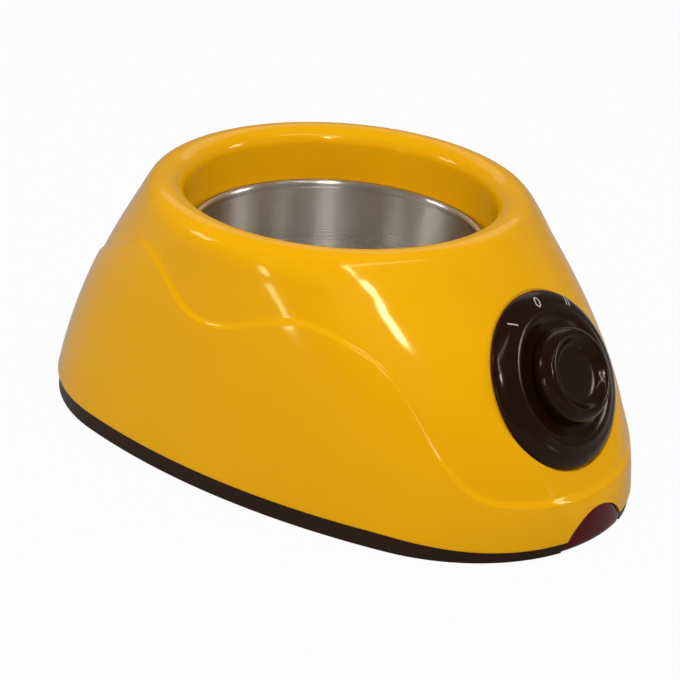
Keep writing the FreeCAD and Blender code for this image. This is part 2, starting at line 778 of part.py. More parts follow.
def stud_rings(label, outer, height, top):
    """Make three collars round the studs, as nuts or spacers."""
    rings = []
    for number, (x, y) in enumerate(around_pot("stud_circle")):
        solid = cylinder(f"{label}_solid_{number}", outer, height, x, y, f"{top} - {height}")
        bore = cylinder(f"{label}_bore_{number}", "stud_radius + fit_gap", height, x, y, f"{top} - {height}")
        rings.append(cut(f"{label}_ring_{number}", solid, bore))
    keep(group(f"{label}_group", rings), label)


def hex_nuts(label, top):
    """Make three hexagon nuts on the studs."""
    nuts = []
    for number, (x, y) in enumerate(around_pot("stud_circle")):
        solid = doc.addObject("Part::Prism", f"{label}_solid_{number}")
        solid.Polygon = 6
        bind(solid, Circumradius="nut_radius", Height="nut_height", Placement__Base__x=x)
        bind(solid, Placement__Base__y=y, Placement__Base__z=f"{top} - nut_height")
        bore = cylinder(f"{label}_bore_{number}", "stud_radius + fit_gap", "nut_height", x, y,
                        f"{top} - nut_height")
        nuts.append(cut(f"{label}_nut_{number}", solid, bore))
    keep(group(f"{label}_group", nuts), label)


def make_heater():
    """Make the heater stack: mica, element, mica, clamp plate, nuts, spacers and shield."""
    bracket_holes = [(f"{sign} * bracket_screw_reach", "0", "screw_radius + screw_gap") for sign in (1, -1)]
    stack_ring("upper_mica", "heater_radius", DISH_UNDER, "mica_thickness")
    stack_ring("heating_element", "heater_radius", HEATER_TOP, "heater_thickness")
    stack_ring("lower_mica", "heater_radius", LOWER_MICA_TOP, "mica_thickness", extra=bracket_holes)
    stack_ring("clamp_plate", "heater_radius", CLAMP_TOP, "clamp_thickness", extra=bracket_holes)
    stack_ring("heat_shield", "shield_radius", SHIELD_TOP, "shield_thickness")
    hex_nuts("clamp_nuts", CLAMP_UNDER)
    stud_rings("shield_spacers", "spacer_radius", "spacer_height", f"({CLAMP_UNDER} - nut_height)")
    hex_nuts("shield_nuts", f"({SHIELD_TOP} - shield_thickness)")


def make_thermostat():
    """Make the bimetal thermostat, the bracket that presses it to the dish, and its screws."""
    shoulder = CLAMP_UNDER
    body = turned_body("thermostat_body", [
        ("0", f"{shoulder} - thermostat_body_height"),
        ("thermostat_body_radius", f"{shoulder} - thermostat_body_height"),
        ("thermostat_body_radius", shoulder),
        ("thermostat_cap_radius", shoulder),
        ("thermostat_cap_radius", DISH_UNDER),
        ("0", DISH_UNDER),
    ], on_axis=True)
    blades = []
    for sign in (1, -1):
        blades.append(block(f"thermostat_blade_{sign + 1}", "blade_thickness", "blade_width",
                            "blade_length / 2 + blade_root", f"{sign} * blade_pitch / 2", "pot_offset",
                            f"{shoulder} - thermostat_body_height - blade_length / 2"))
    keep(fuse("thermostat_joined", [body] + blades), "thermostat")

    strip = block("bracket_strip", "bracket_length", "bracket_width", "bracket_thickness",
                  y="pot_offset", z=f"{shoulder} - bracket_thickness")
    holes = [cylinder("bracket_eye", "thermostat_body_radius + rest_gap", "2 * bracket_thickness",
                      y="pot_offset", z=f"{shoulder} - 1.5 * bracket_thickness")]
    screws = []
    for sign in (1, -1):
        x = f"{sign} * bracket_screw_reach"
        holes.append(cylinder(f"bracket_hole_{sign + 1}", "screw_radius + screw_gap", "2 * bracket_thickness",
                              x, "pot_offset", f"{shoulder} - 1.5 * bracket_thickness"))
        length = "bracket_thickness + clamp_thickness + mica_thickness"
        screws.append(screw(f"bracket_screw_{sign + 1}", length,
                            x, "pot_offset", f"{shoulder} - bracket_thickness"))
    keep(cut("bracket_cut", strip, fuse("bracket_holes", holes)), "thermostat_bracket")
    keep(group("bracket_screw_group", screws), "bracket_screws")


def make_fuse():
    """Make the thermal fuse and the saddle clip that holds it under the clamp plate."""
    place = ("-fuse_length / 2", "pot_offset - fuse_reach", FUSE_LEVEL)
    keep(along_x("fuse_body", "fuse_radius", "fuse_length", *place), "thermal_fuse")
    height = "2 * (fuse_radius + fit_gap + clip_wall)"
    saddle = block("clip_block", "clip_width", "clip_depth", height, "0", "pot_offset - fuse_reach",
                   f"{CLAMP_UNDER} - {height}")
    trough = along_x("clip_trough", "fuse_radius + fit_gap", "fuse_length", *place)
    keep(cut("clip_cut", saddle, trough), "fuse_clip")


# Dial and switch

def make_dial():
    """Make the dial: a sloping skirt with a raised, dished knob, and the shaft they turn on."""
    edge_foot = "(rest_gap - seat_drop)"
    plate_top = f"({edge_foot} + bush_rise + seat_drop + skirt_plate)"
    plate_under = f"({plate_top} - skirt_plate)"
    skirt = turned_body("skirt_body", [
        ("hub_radius + fit_gap", plate_under),
        ("knob_radius", plate_under),
        ("dial_radius - skirt_plate", f"{edge_foot} + skirt_edge"),
        ("dial_radius - skirt_plate", edge_foot),
        ("dial_radius", edge_foot),
        ("dial_radius", "skirt_edge"),
        ("ridge_radius", "skirt_crown"),
        ("knob_radius + valley_width", "skirt_crown - valley_drop"),
        ("knob_radius + fit_gap", plate_top),
        ("hub_radius + fit_gap", plate_top),
    ])
    round_circles(skirt, "skirt_edge", [("dial_radius", "skirt_edge"), ("ridge_radius", "skirt_crown")])
    keep(in_dial_frame(skirt), "dial_skirt")
    knob = turned_body("knob_body", [
        ("shaft_radius + fit_gap", plate_under),
        ("hub_radius", plate_under),
        ("hub_radius", plate_top),
        ("knob_foot_radius", plate_top),
        ("knob_radius", f"{plate_top} + knob_flare"),
        ("knob_radius", "knob_top"),
        ("knob_face_radius", "knob_top"),
        ("knob_dish_radius", "knob_top - knob_dish"),
        ("0", "knob_top - knob_dish"),
        ("0", "knob_top - knob_dish - skirt_plate"),
        ("shaft_radius + fit_gap", "knob_top - knob_dish - skirt_plate"),
    ])
    round_circles(knob, "knob_round", [("knob_radius", "knob_top"), ("knob_face_radius", "knob_top")])
    keep(in_dial_frame(knob), "dial_knob")
    shaft = cylinder("shaft_solid", "shaft_radius",
                     f"{SEAT_UNDER} + shaft_depth + knob_top - knob_dish - skirt_plate - 2 * run_gap")
    keep(in_dial_frame(shaft, rise=f"-{SEAT_UNDER} - shaft_depth + run_gap"), "switch_shaft")


def make_switch():
    """Make the rotary switch behind the nose, its nut and its terminal blades."""
    case = block("switch_case", "switch_width", "switch_width", "switch_depth")
    in_dial_frame(case, "-switch_width / 2", "-switch_width / 2", f"-{SEAT_UNDER} - switch_depth")
    bush = cylinder("switch_bush", "bush_radius", f"{SEAT_UNDER} + bush_rise")
    in_dial_frame(bush, rise=f"-{SEAT_UNDER}")
    bore = cylinder("switch_bore", "shaft_radius + run_gap", f"{SEAT_UNDER} + shaft_depth + 2 * bush_rise")
    in_dial_frame(bore, rise=f"-{SEAT_UNDER} - shaft_depth")
    keep(cut("switch_cut", fuse("switch_solid", [case, bush]), bore), "rotary_switch")

    solid = doc.addObject("Part::Prism", "switch_nut_solid")
    solid.Polygon = 6
    bind(solid, Circumradius="switch_nut_radius", Height="switch_nut_height")
    in_dial_frame(solid, rise="-seat_drop")
    thread = cylinder("switch_nut_bore", "bush_radius + fit_gap", "switch_nut_height")
    in_dial_frame(thread, rise="-seat_drop")
    keep(cut("switch_nut_cut", solid, thread), "switch_nut")

    blades = []
    for number, (sign_x, sign_y) in enumerate(FOUR_CORNERS):
        blade = block(f"switch_blade_{number}", "blade_width", "blade_thickness", "blade_length")
        in_dial_frame(blade, f"{sign_x} * blade_pitch / 2 - blade_width / 2",
                      f"{sign_y} * blade_pitch / 2 - blade_thickness / 2",
                      f"-{SEAT_UNDER} - switch_depth - blade_length")
        blades.append(blade)
    keep(group("switch_blade_group", blades), "switch_terminals")


# Base plate, feet, lens and inlet

def make_base_plate():
    """Make the base plate: floor, band, locating rim, screw sleeves, recesses and vents."""
    body = new_body("base_body")
    floor = sketch_on(body, "base_floor", "foot_stand")
    draw_oval(floor, 0, "band_inset")
    pad(body, floor, "floor_thickness")
    band = sketch_on(body, "base_band", f"{FLOOR_TOP} - floor_thickness / 2")
    draw_oval(band, 0, "band_inset")
    draw_oval(band, 0, "band_inset + band_wall")
    pad(body, band, f"part_line - {FLOOR_TOP} + floor_thickness / 2")
    rim = sketch_on(body, "base_rim", f"{FLOOR_TOP} - floor_thickness / 2")
    draw_oval(rim, 0, f"{LENS_BACK} + rim_draft")
    draw_oval(rim, 0, f"{LENS_BACK} + rim_draft + rim_wall")
    pad(body, rim, "rim_rise + floor_thickness / 2")

    sleeves = sketch_on(body, "base_sleeves", f"{FLOOR_TOP} - floor_thickness / 2")
    recesses = sketch_on(body, "base_recesses", "foot_stand")
    holes = sketch_on(body, "base_holes", "foot_stand")
    feet = sketch_on(body, "base_foot_seats", "foot_stand")
    for sign_x, sign_y in FOUR_CORNERS:
        x = f"{sign_x} * base_screw_place"
        y = f"{sign_y} * {BASE_SCREW_Y}"
        draw_circle(sleeves, "sleeve_radius", x, y)
        draw_circle(recesses, "screw_head_radius + rest_gap", x, y)
        draw_circle(holes, "screw_radius + screw_gap", x, y)
        draw_circle(feet, "foot_radius + screw_gap", f"{sign_x} * foot_place", f"{sign_y} * {FOOT_Y}")
    pad(body, sleeves, f"part_line - {FLOOR_TOP} + floor_thickness / 2")
    pocket(body, recesses, "head_recess")
    pocket(body, holes, "2 * part_line")
    pocket(body, feet, "foot_height - foot_stand")

    slots = sketch_on(body, "base_slots", "foot_stand - cut_over")
    for step in VENT_STEPS:
        left = f"{step} * slot_pitch - slot_width / 2"
        right = f"{step} * slot_pitch + slot_width / 2"
        draw_outline(slots, [
            (left, "pot_offset - slot_length / 2"),
            (right, "pot_offset - slot_length / 2"),
            (right, "pot_offset + slot_length / 2"),
            (left, "pot_offset + slot_length / 2"),
        ])
    pocket(body, slots, "floor_thickness + 2 * cut_over")
    keep(cut("base_cut", body, lens_notch()), "base_plate")


def lens_notch():
    """Make the notch in the base plate: as wide as the window, and wider behind for the flange."""
    depth = f"{LENS_BACK} + lens_flange_thickness + 2 * lens_gap"
    slab = block("notch_slab", "length", f"2 * ({depth})", "length", "0", "-length / 2")
    window = common("notch_window", arch("notch_arch", "lens_gap", "lens_gap"), slab)
    thickness = "(lens_flange_thickness + lens_lean + lens_gap)"
    ring = lens_ring("notch_ring", f"({LENS_BACK} - rest_gap / 2)", thickness,
                     "foot_stand - cut_over", "foot_stand + lens_height + lens_flange_reach + 2 * cut_over")
    flange = common("notch_flange", arch("notch_flange_arch", "lens_flange_reach + lens_gap"), ring)
    return fuse("notch", [window, flange])


def make_feet():
    """Make the four rubber feet."""
    feet = []
    for number, (sign_x, sign_y) in enumerate(FOUR_CORNERS):
        feet.append(cylinder(f"foot_{number}", "foot_radius", "foot_height", f"{sign_x} * foot_place",
                             f"{sign_y} * {FOOT_Y}", "0"))
    keep(group("foot_group", feet), "rubber_feet")


def make_lens():
    """Make the arched lens: a window flush with the nose and a flange behind its wall."""
    window_ring = lens_ring("window_ring", "0", LENS_BACK, "foot_stand",
                            "foot_stand + lens_height + cut_over")
    window = common("lens_front", window_ring, arch("lens_arch"))
    flange_ring = lens_ring("flange_ring", LENS_BACK, "lens_flange_thickness",
                            "foot_stand", "foot_stand + lens_height + lens_flange_reach + 2 * cut_over")
    behind = arch("lens_flange_arch", "lens_flange_reach", "-lens_flange_drop")
    flange = common("lens_back", flange_ring, behind)
    keep(fuse("lens_joined", [window, flange]), "indicator_lens")


def make_lamp():
    """Make the neon lamp behind the lens and the holder that stands on the base plate."""
    front = "(-length / 2 + lamp_setback)"
    keep(along_y("lamp_bulb", "lamp_radius", "lamp_length", "0", front, "lamp_level"), "indicator_lamp")
    middle = f"{front} + lamp_length - holder_depth / 2"
    solid = block("holder_block", "holder_width", "holder_depth",
                  f"lamp_level + lamp_radius + holder_wall - {FLOOR_TOP}", "0", middle, FLOOR_TOP)
    bore = along_y("holder_bore", "lamp_radius + fit_gap", "2 * lamp_length", "0", front, "lamp_level")
    keep(cut("holder_cut", solid, bore), "lamp_holder")


def make_inlet():
    """Make the flanged bush of the cord inlet in the tail wall."""
    body = turned_body("inlet_body", [
        ("inlet_bore", "-inlet_length"),
        ("inlet_barrel", "-inlet_length"),
        ("inlet_barrel", "screw_gap"),
        ("inlet_flange", "screw_gap"),
        ("inlet_flange", "inlet_flange_thickness"),
        ("inlet_bore", "inlet_flange_thickness"),
    ])
    keep(in_inlet_frame(body), "cord_inlet_bush")


def make_terminals():
    """Make the terminal block on the base plate, with its wire ways and clamp screws."""
    solid = block("terminal_solid", "terminal_width", "terminal_depth", "terminal_height", "0",
                  TERMINAL_Y, FLOOR_TOP)
    ways = []
    screws = []
    for step in (-1, 0, 1):
        x = f"{step} * terminal_pitch"
        ways.append(along_y(f"terminal_way_{step + 1}", "terminal_wire_hole", "2 * terminal_depth", x,
                            f"{TERMINAL_Y} - terminal_depth", WAY_LEVEL))
        level = f"{FLOOR_TOP} + terminal_height - terminal_screw_length"
        ways.append(cylinder(f"terminal_well_{step + 1}", "terminal_screw_radius + fit_gap",
                             "2 * terminal_screw_length", x, TERMINAL_Y, level))
        screws.append(cylinder(f"terminal_screw_{step + 1}", "terminal_screw_radius",
                               "terminal_screw_length - terminal_screw_drop", x, TERMINAL_Y, level))
    keep(cut("terminal_cut", solid, fuse("terminal_ways", ways)), "terminal_block")
    keep(group("terminal_screw_group", screws), "terminal_screws")


def lead(label, points):
    """Run a round wire through points, straight between them with an arc in each corner."""
    places = [FreeCAD.Vector(*(size(part) for part in point)) for point in points]
    edges = []
    start = places[0]
    for before, corner, after in zip(places, places[1:], places[2:]):
        back = (before - corner).normalize()
        ahead = (after - corner).normalize()
        reach = ARC_SHARE * min((before - corner).Length, (after - corner).Length)
        opening = back.getAngle(ahead)
        inward = (back + ahead).normalize()
        middle = corner + inward * (reach / math.cos(opening / 2) - reach * math.tan(opening / 2))
        edges.append(Part.LineSegment(start, corner + back * reach).toShape())
        edges.append(Part.Arc(corner + back * reach, middle, corner + ahead * reach).toShape())
        start = corner + ahead * reach
    edges.append(Part.LineSegment(start, places[-1]).toShape())
    ring = Part.Wire(Part.makeCircle(size("lead_radius"), places[0], places[1] - places[0]))
    item = doc.addObject("Part::Feature", f"{label}_run")
    item.Shape = Part.Wire(edges).makePipeShell([ring], True, True)
    keep(item, label)


def make_leads():
    """Make the insulated wires between terminals, switch, fuse, thermostat and element."""
    run_level = f"{FLOOR_TOP} + 2 * lead_radius"
    blade_end = f"-{SEAT_UNDER} - switch_depth - blade_length"
    entry = f"{TERMINAL_Y} - lead_entry"
    element_level = f"({HEATER_TOP} - heater_thickness / 2)"
    blade_middle = f"{CLAMP_UNDER} - thermostat_body_height - blade_length / 4"
    lead("thermostat_lead", [
        ("-terminal_pitch", entry, WAY_LEVEL),
        ("-terminal_pitch", f"{TERMINAL_Y} - terminal_depth", WAY_LEVEL),
        ("-blade_pitch / 2", "pot_offset + stud_circle / 2", blade_middle),
        ("-blade_pitch / 2", "pot_offset + blade_width / 2", blade_middle),
    ])
    lead("switch_lead", [
        ("terminal_pitch", entry, WAY_LEVEL),
        ("terminal_pitch", f"{TERMINAL_Y} - terminal_depth", WAY_LEVEL),
        ("terminal_pitch", "pot_offset", run_level),
        ("terminal_pitch", "pot_offset - shield_radius", run_level),
        dial_point("blade_pitch / 2", "-blade_pitch / 2", f"{blade_end} - switch_depth"),
        dial_point("blade_pitch / 2", "-blade_pitch / 2", blade_end),
    ])
    lead("fuse_lead", [
        ("-fuse_length / 2", "pot_offset - fuse_reach", FUSE_LEVEL),
        ("-fuse_length", "pot_offset - fuse_reach", FUSE_LEVEL),
        ("-fuse_length", "pot_offset - shield_radius", FUSE_LEVEL),
        dial_point("-blade_pitch / 2", "-blade_pitch / 2", f"{blade_end} - blade_length"),
        dial_point("-blade_pitch / 2", "-blade_pitch / 2", blade_end),
    ])
    lead("element_lead", [
        ("0", entry, WAY_LEVEL),
        ("0", f"{TERMINAL_Y} - terminal_depth", WAY_LEVEL),
        ("0", "pot_offset + shield_radius + 4 * lead_radius", element_level),
        ("0", "pot_offset + heater_radius + fit_gap", element_level),
    ])


def check_and_export():
    """Stop on any failed object, then write one STEP file for each sub-part."""
    doc.recompute()
    for item in doc.Objects:
        if "Invalid" in item.State or "Error" in item.State:
            raise ValueError(f"{item.Name} failed: {item.State}")
    for item in nodes:
        if item.Shape.isNull() or not item.Shape.isValid():
            raise ValueError(f"{item.Label} has no valid shape")
    os.makedirs("parts", exist_ok=True)
    for item in nodes:
        item.Shape.exportStep(f"parts/{item.Label}.step")
        box = item.Shape.BoundBox
        print(f"{item.Label}: {len(item.Shape.Solids)} solids, {item.Shape.Volume:.0f} mm3, "
              f"x {box.XMin:.1f} {box.XMax:.1f}, y {box.YMin:.1f} {box.YMax:.1f}, "
              f"z {box.ZMin:.1f} {box.ZMax:.1f}")


fill_sheet()
make_housing()
make_base_plate()
make_feet()
make_pot()
make_dish()
make_gasket()
make_screws()
make_heater()
make_thermostat()
make_fuse()
make_dial()
make_switch()
make_lens()
make_lamp()
make_inlet()
make_terminals()
make_leads()
check_and_export()
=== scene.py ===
"""Chocolate melting pot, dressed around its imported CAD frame.

The visible shells are worked out with numpy in millimetres, in the frame's own axes, and the
sealed parts keep their CAD shape and get a finish. Each sub-assembly is a class.
"""

import logging
import math
from dataclasses import dataclass
from enum import Enum

import bpy
import numpy as np
from mathutils import Matrix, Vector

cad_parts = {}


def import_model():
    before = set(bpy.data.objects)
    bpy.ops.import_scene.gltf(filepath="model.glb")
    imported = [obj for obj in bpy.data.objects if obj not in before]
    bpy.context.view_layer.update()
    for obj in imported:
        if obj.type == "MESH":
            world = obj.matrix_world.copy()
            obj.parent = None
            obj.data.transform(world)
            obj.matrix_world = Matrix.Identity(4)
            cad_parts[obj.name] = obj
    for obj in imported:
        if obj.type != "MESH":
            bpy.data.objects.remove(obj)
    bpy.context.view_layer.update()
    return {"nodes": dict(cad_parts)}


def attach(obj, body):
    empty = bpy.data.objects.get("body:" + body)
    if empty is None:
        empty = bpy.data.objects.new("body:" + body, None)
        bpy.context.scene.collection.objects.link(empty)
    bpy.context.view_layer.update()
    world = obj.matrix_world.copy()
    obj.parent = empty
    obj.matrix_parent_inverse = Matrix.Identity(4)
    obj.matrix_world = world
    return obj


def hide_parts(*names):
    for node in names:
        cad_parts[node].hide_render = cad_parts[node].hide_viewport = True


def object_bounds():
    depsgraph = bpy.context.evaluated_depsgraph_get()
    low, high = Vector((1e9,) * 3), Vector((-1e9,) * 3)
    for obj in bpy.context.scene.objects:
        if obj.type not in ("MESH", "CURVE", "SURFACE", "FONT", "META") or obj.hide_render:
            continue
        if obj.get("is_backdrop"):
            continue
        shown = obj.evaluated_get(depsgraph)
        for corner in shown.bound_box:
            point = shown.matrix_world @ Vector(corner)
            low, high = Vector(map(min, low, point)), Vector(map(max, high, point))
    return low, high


LOG = logging.getLogger("melting_pot")
MM = 0.001
TAU = 2 * math.pi
GRAIN_HEIGHT = 0.0004
SCATTER_REACH = 0.002
Array = np.ndarray
Faces = list[tuple[int, ...]]
Mesh = tuple[Array, Faces]


# Mesh tools


def grid_faces(rows: int, columns: int, wrap_rows: bool = False, start: int = 0) -> Faces:
    """Join a grid of points whose columns close round on themselves.

    Args:
        rows: Number of rings.
        columns: Number of points in a ring.
        wrap_rows: True joins the last ring to the first.
        start: Number of the grid's first point.

    Returns:
        Quads that face outwards when rings run upwards and columns anticlockwise.
    """
    ring, place = np.meshgrid(np.arange(rows if wrap_rows else rows - 1), np.arange(columns), indexing="ij")
    upper = (ring + 1) % rows
    after = (place + 1) % columns
    quads = np.stack([ring * columns + place, ring * columns + after,
                      upper * columns + after, upper * columns + place], axis=-1)
    return [tuple(quad) for quad in (quads.reshape(-1, 4) + start).tolist()]


def fan_faces(pole: int, first: int, columns: int, below: bool) -> Faces:
    """Close a ring with triangles to one pole point.

    Args:
        pole: Number of the pole point.
        first: Number of the ring's first point.
        columns: Number of points in the ring.
        below: True when the pole is the start of the profile.

    Returns:
        Triangles that face outwards.
    """
    here = np.arange(columns) + first
    after = np.roll(here, -1)
    corners = (after, here) if below else (here, after)
    return [tuple(face) for face in np.stack([*corners, np.full(columns, pole)], axis=-1).tolist()]


def lathe(profile: Array, segments: int = 128, closed: bool = False) -> Mesh:
    """Turn a profile about Z: x = r cos t, y = r sin t, z = z, for t once round.

    Args:
        profile: Rows of radius and height, from the foot outwards, up and back to the top.
        segments: Number of steps round the axis.
        closed: True joins the profile's last point to its first, for a ring.

    Returns:
        Points and outward faces, with one point at each pole.
    """
    profile = np.asarray(profile, float)
    foot = not closed and profile[0, 0] < 1e-6
    top = not closed and profile[-1, 0] < 1e-6
    rings = profile[int(foot):len(profile) - int(top)]
    turn = np.arange(segments) * TAU / segments
    radius = rings[:, :1]
    height = np.broadcast_to(rings[:, 1:], (len(rings), segments))
    points = np.stack([radius * np.cos(turn), radius * np.sin(turn), height], axis=-1).reshape(-1, 3)
    faces = grid_faces(len(rings), segments, closed)
    if foot:
        faces += fan_faces(len(points), 0, segments, True)
        points = np.vstack([points, [[0, 0, profile[0, 1]]]])
    if top:
        faces += fan_faces(len(points), (len(rings) - 1) * segments, segments, False)
        points = np.vstack([points, [[0, 0, profile[-1, 1]]]])
    return points, faces


def rounded(corners: list[tuple[float, float, float]], closed: bool = False, steps: int = 7) -> Array:
    """Round the corners of a profile with arcs.

    Each arc touches both runs at its radius times the tangent of half the turn, and a point is
    added just outside each end so that flat runs shade flat.

    Args:
        corners: Radius, height and corner radius, in order.
        closed: True rounds the first and last corner as well.
        steps: Points on each arc.

    Returns:
        Rows of radius and height.
    """
    places = np.array([corner[:2] for corner in corners], float)
    count = len(places)
    path = []
    for number, (here, bend) in enumerate(zip(places, (corner[2] for corner in corners))):
        if bend <= 0 or (not closed and number in (0, count - 1)):
            path.append(here[None])
            continue
        back = places[number - 1] - here
        ahead = places[(number + 1) % count] - here
        back /= np.linalg.norm(back)
        ahead /= np.linalg.norm(ahead)
        half = math.acos(float(np.clip(back @ ahead, -1, 1))) / 2
        reach = bend / math.tan(half)
        middle = here + (back + ahead) / np.linalg.norm(back + ahead) * bend / math.sin(half)
        start = here + back * reach - middle
        end = here + ahead * reach - middle
        share = np.linspace(0, 1, steps)[:, None]
        sweep = math.pi - 2 * half
        arc = (np.sin((1 - share) * sweep) * start + np.sin(share * sweep) * end) / math.sin(sweep)
        margin = 0.15 * bend
        path.append(np.vstack([middle + start + back * margin, middle + arc, middle + end + ahead * margin]))
    return np.vstack(path)


def smoothstep(share: Array) -> Array:
    """Ease a share from 0 to 1 with a level start and end."""
    return share ** 2 * (3 - 2 * share)


def smooth_line(knots: Array, count: int) -> Array:
    """Run a Catmull-Rom curve through knots, evenly in its parameter.

    Args:
        knots: Rows of radius and height.
        count: Number of points along the curve.

    Returns:
        Points on the curve, ends included.
    """
    knots = np.asarray(knots, float)
    padded = np.vstack([2 * knots[0] - knots[1], knots, 2 * knots[-1] - knots[-2]])
    along = np.linspace(0, len(knots) - 1, count)
    index = np.minimum(along.astype(int), len(knots) - 2)
    t = (along - index)[:, None]
    before, start, end, after = (padded[index + step] for step in range(4))
    return 0.5 * (2 * start + (end - before) * t + (2 * before - 5 * start + 4 * end - after) * t ** 2
                  + (3 * start - before - 3 * end + after) * t ** 3)


def joined(meshes: list[Mesh]) -> Mesh:
    """Put several meshes into one.

    Args:
        meshes: Points and faces of each.

    Returns:
        Points and faces of all.
    """
    points, faces, start = [], [], 0
    for some, corners in meshes:
        points.append(some)
        faces += [tuple(corner + start for corner in face) for face in corners]
        start += len(some)
    return np.vstack(points), faces


def box_mesh(low: tuple[float, float, float], high: tuple[float, float, float]) -> Mesh:
    """Make a closed box between two corners.

    Args:
        low: Lowest corner.
        high: Highest corner.

    Returns:
        Points and outward faces.
    """
    pick = np.array([[0, 0, 0], [1, 0, 0], [1, 1, 0], [0, 1, 0], [0, 0, 1], [1, 0, 1], [1, 1, 1], [0, 1, 1]])
    points = np.where(pick == 1, np.array(high, float), np.array(low, float))
    faces = [(0, 3, 2, 1), (4, 5, 6, 7), (0, 1, 5, 4), (1, 2, 6, 5), (2, 3, 7, 6), (3, 0, 4, 7)]
    return points, faces


@dataclass(frozen=True)
class Seat:
    """A place in the frame: an origin and three axes, as columns of a turn matrix."""

    origin: tuple[float, float, float]
    tilt: float = 0.0

    @property
    def axes(self) -> Array:
        """The local axes as rows, turned about X by the tilt in degrees."""
        turn = math.radians(self.tilt)
        cos, sin = math.cos(turn), math.sin(turn)
        return np.array([[1, 0, 0], [0, cos, sin], [0, -sin, cos]])

    def place(self, mesh: Mesh) -> Mesh:
        """Carry a mesh from this seat's own axes into the frame."""
        return mesh[0] @ self.axes + np.array(self.origin), mesh[1]

    def height(self, points: Array) -> Array:
        """Give each point's height over this seat."""
        return (points - np.array(self.origin)) @ self.axes[2]


POT_SEAT = Seat((0.0, 5.4, 0.0))
DIAL_SEAT = Seat((0.0, -78.9, 45.4), 59.33)
INLET_SEAT = Seat((0.0, 96.3, 20.0), -73.5)


def natural_spline(knots: Array, values: Array, at: Array) -> tuple[Array, Array]:
    """Read a natural cubic spline: cubic pieces with the same slope and bend at each knot.

    Args:
        knots: Rising places of the knots.
        values: The spline's value at each knot.
        at: Places to read.

    Returns:
        Values and slopes at those places.
    """
    step = np.diff(knots)
    count = len(knots)
    bands = np.diag(np.r_[1.0, 2 * (step[:-1] + step[1:]), 1.0])
    inner = np.arange(1, count - 1)
    bands[inner, inner - 1] = step[:-1]
    bands[inner, inner + 1] = step[1:]
    rate = np.diff(values) / step
    bend = np.linalg.solve(bands, np.r_[0.0, 6 * np.diff(rate), 0.0])
    piece = np.clip(np.searchsorted(knots, at) - 1, 0, count - 2)
    width = step[piece]
    left = at - knots[piece]
    right = knots[piece + 1] - at
    low, high = bend[piece], bend[piece + 1]
    start, end = values[piece] / width - low * width / 6, values[piece + 1] / width - high * width / 6
    value = (low * right ** 3 + high * left ** 3) / (6 * width) + start * right + end * left
    slope = (high * left ** 2 - low * right ** 2) / (2 * width) + end - start
    return value, slope


# Finishes


class Tree:
    """Builds one material's node tree."""

    def __init__(self, name: str) -> None:
        """Start a material with its Principled shader."""
        self.material = bpy.data.materials.new(name)
        self.material.use_nodes = True
        self.nodes = self.material.node_tree.nodes
        self.links = self.material.node_tree.links
        self.shader = self.nodes["Principled BSDF"]

    def add(self, kind: str, **settings: object) -> bpy.types.Node:
        """Add a node.

        Args:
            kind: Node type without its ShaderNode prefix.
            **settings: Properties, or input names with spaces as underscores.

        Returns:
            The node.
        """
        node = self.nodes.new(f"ShaderNode{kind}")
        for key, value in settings.items():
            name = key.replace("_", " ").title()
            socket = node.inputs.get(name)
            if isinstance(value, bpy.types.NodeSocket):
                self.links.new(value, socket)
            elif socket is not None and not hasattr(node, key):
                socket.default_value = value
            else:
                setattr(node, key, value)
        return node

    def math(self, operation: str, first: object, second: object = 0.0) -> bpy.types.NodeSocket:
        """Work out one sum of two sockets or numbers and give the result's socket."""
        node = self.nodes.new("ShaderNodeMath")
        node.operation = operation
        return self.feed(node, (first, second))

    def vector(self, *parts: object) -> bpy.types.NodeSocket:
        """Put three sockets or numbers into a vector and give its socket."""
        return self.feed(self.nodes.new("ShaderNodeCombineXYZ"), parts)

    def feed(self, node: bpy.types.Node, values: tuple[object, ...]) -> bpy.types.NodeSocket:
        """Wire a node's inputs in order and give its output."""
        for slot, value in zip(node.inputs, values):
            self.wire(slot, value)
        return node.outputs[0]

    def wire(self, slot: bpy.types.NodeSocket, value: object) -> None:
        """Join a socket to an input, or set the input to a number."""
        if isinstance(value, bpy.types.NodeSocket):
            self.links.new(value, slot)
        else:
            slot.default_value = value

    def put(self, values: dict[str, object]) -> None:
        """Wire inputs of the Principled shader by their names."""
        for name, value in values.items():
            self.wire(self.shader.inputs[name], value)

    def remap(self, value: bpy.types.NodeSocket, low: float, high: float,
              start: float = 0.3, end: float = 0.7) -> bpy.types.NodeSocket:
        """Spread a pattern's values from start and end to low and high."""
        node = self.add("MapRange")
        self.links.new(value, node.inputs["Value"])
        for name, number in (("From Min", start), ("From Max", end), ("To Min", low), ("To Max", high)):
            node.inputs[name].default_value = number
        return node.outputs[0]


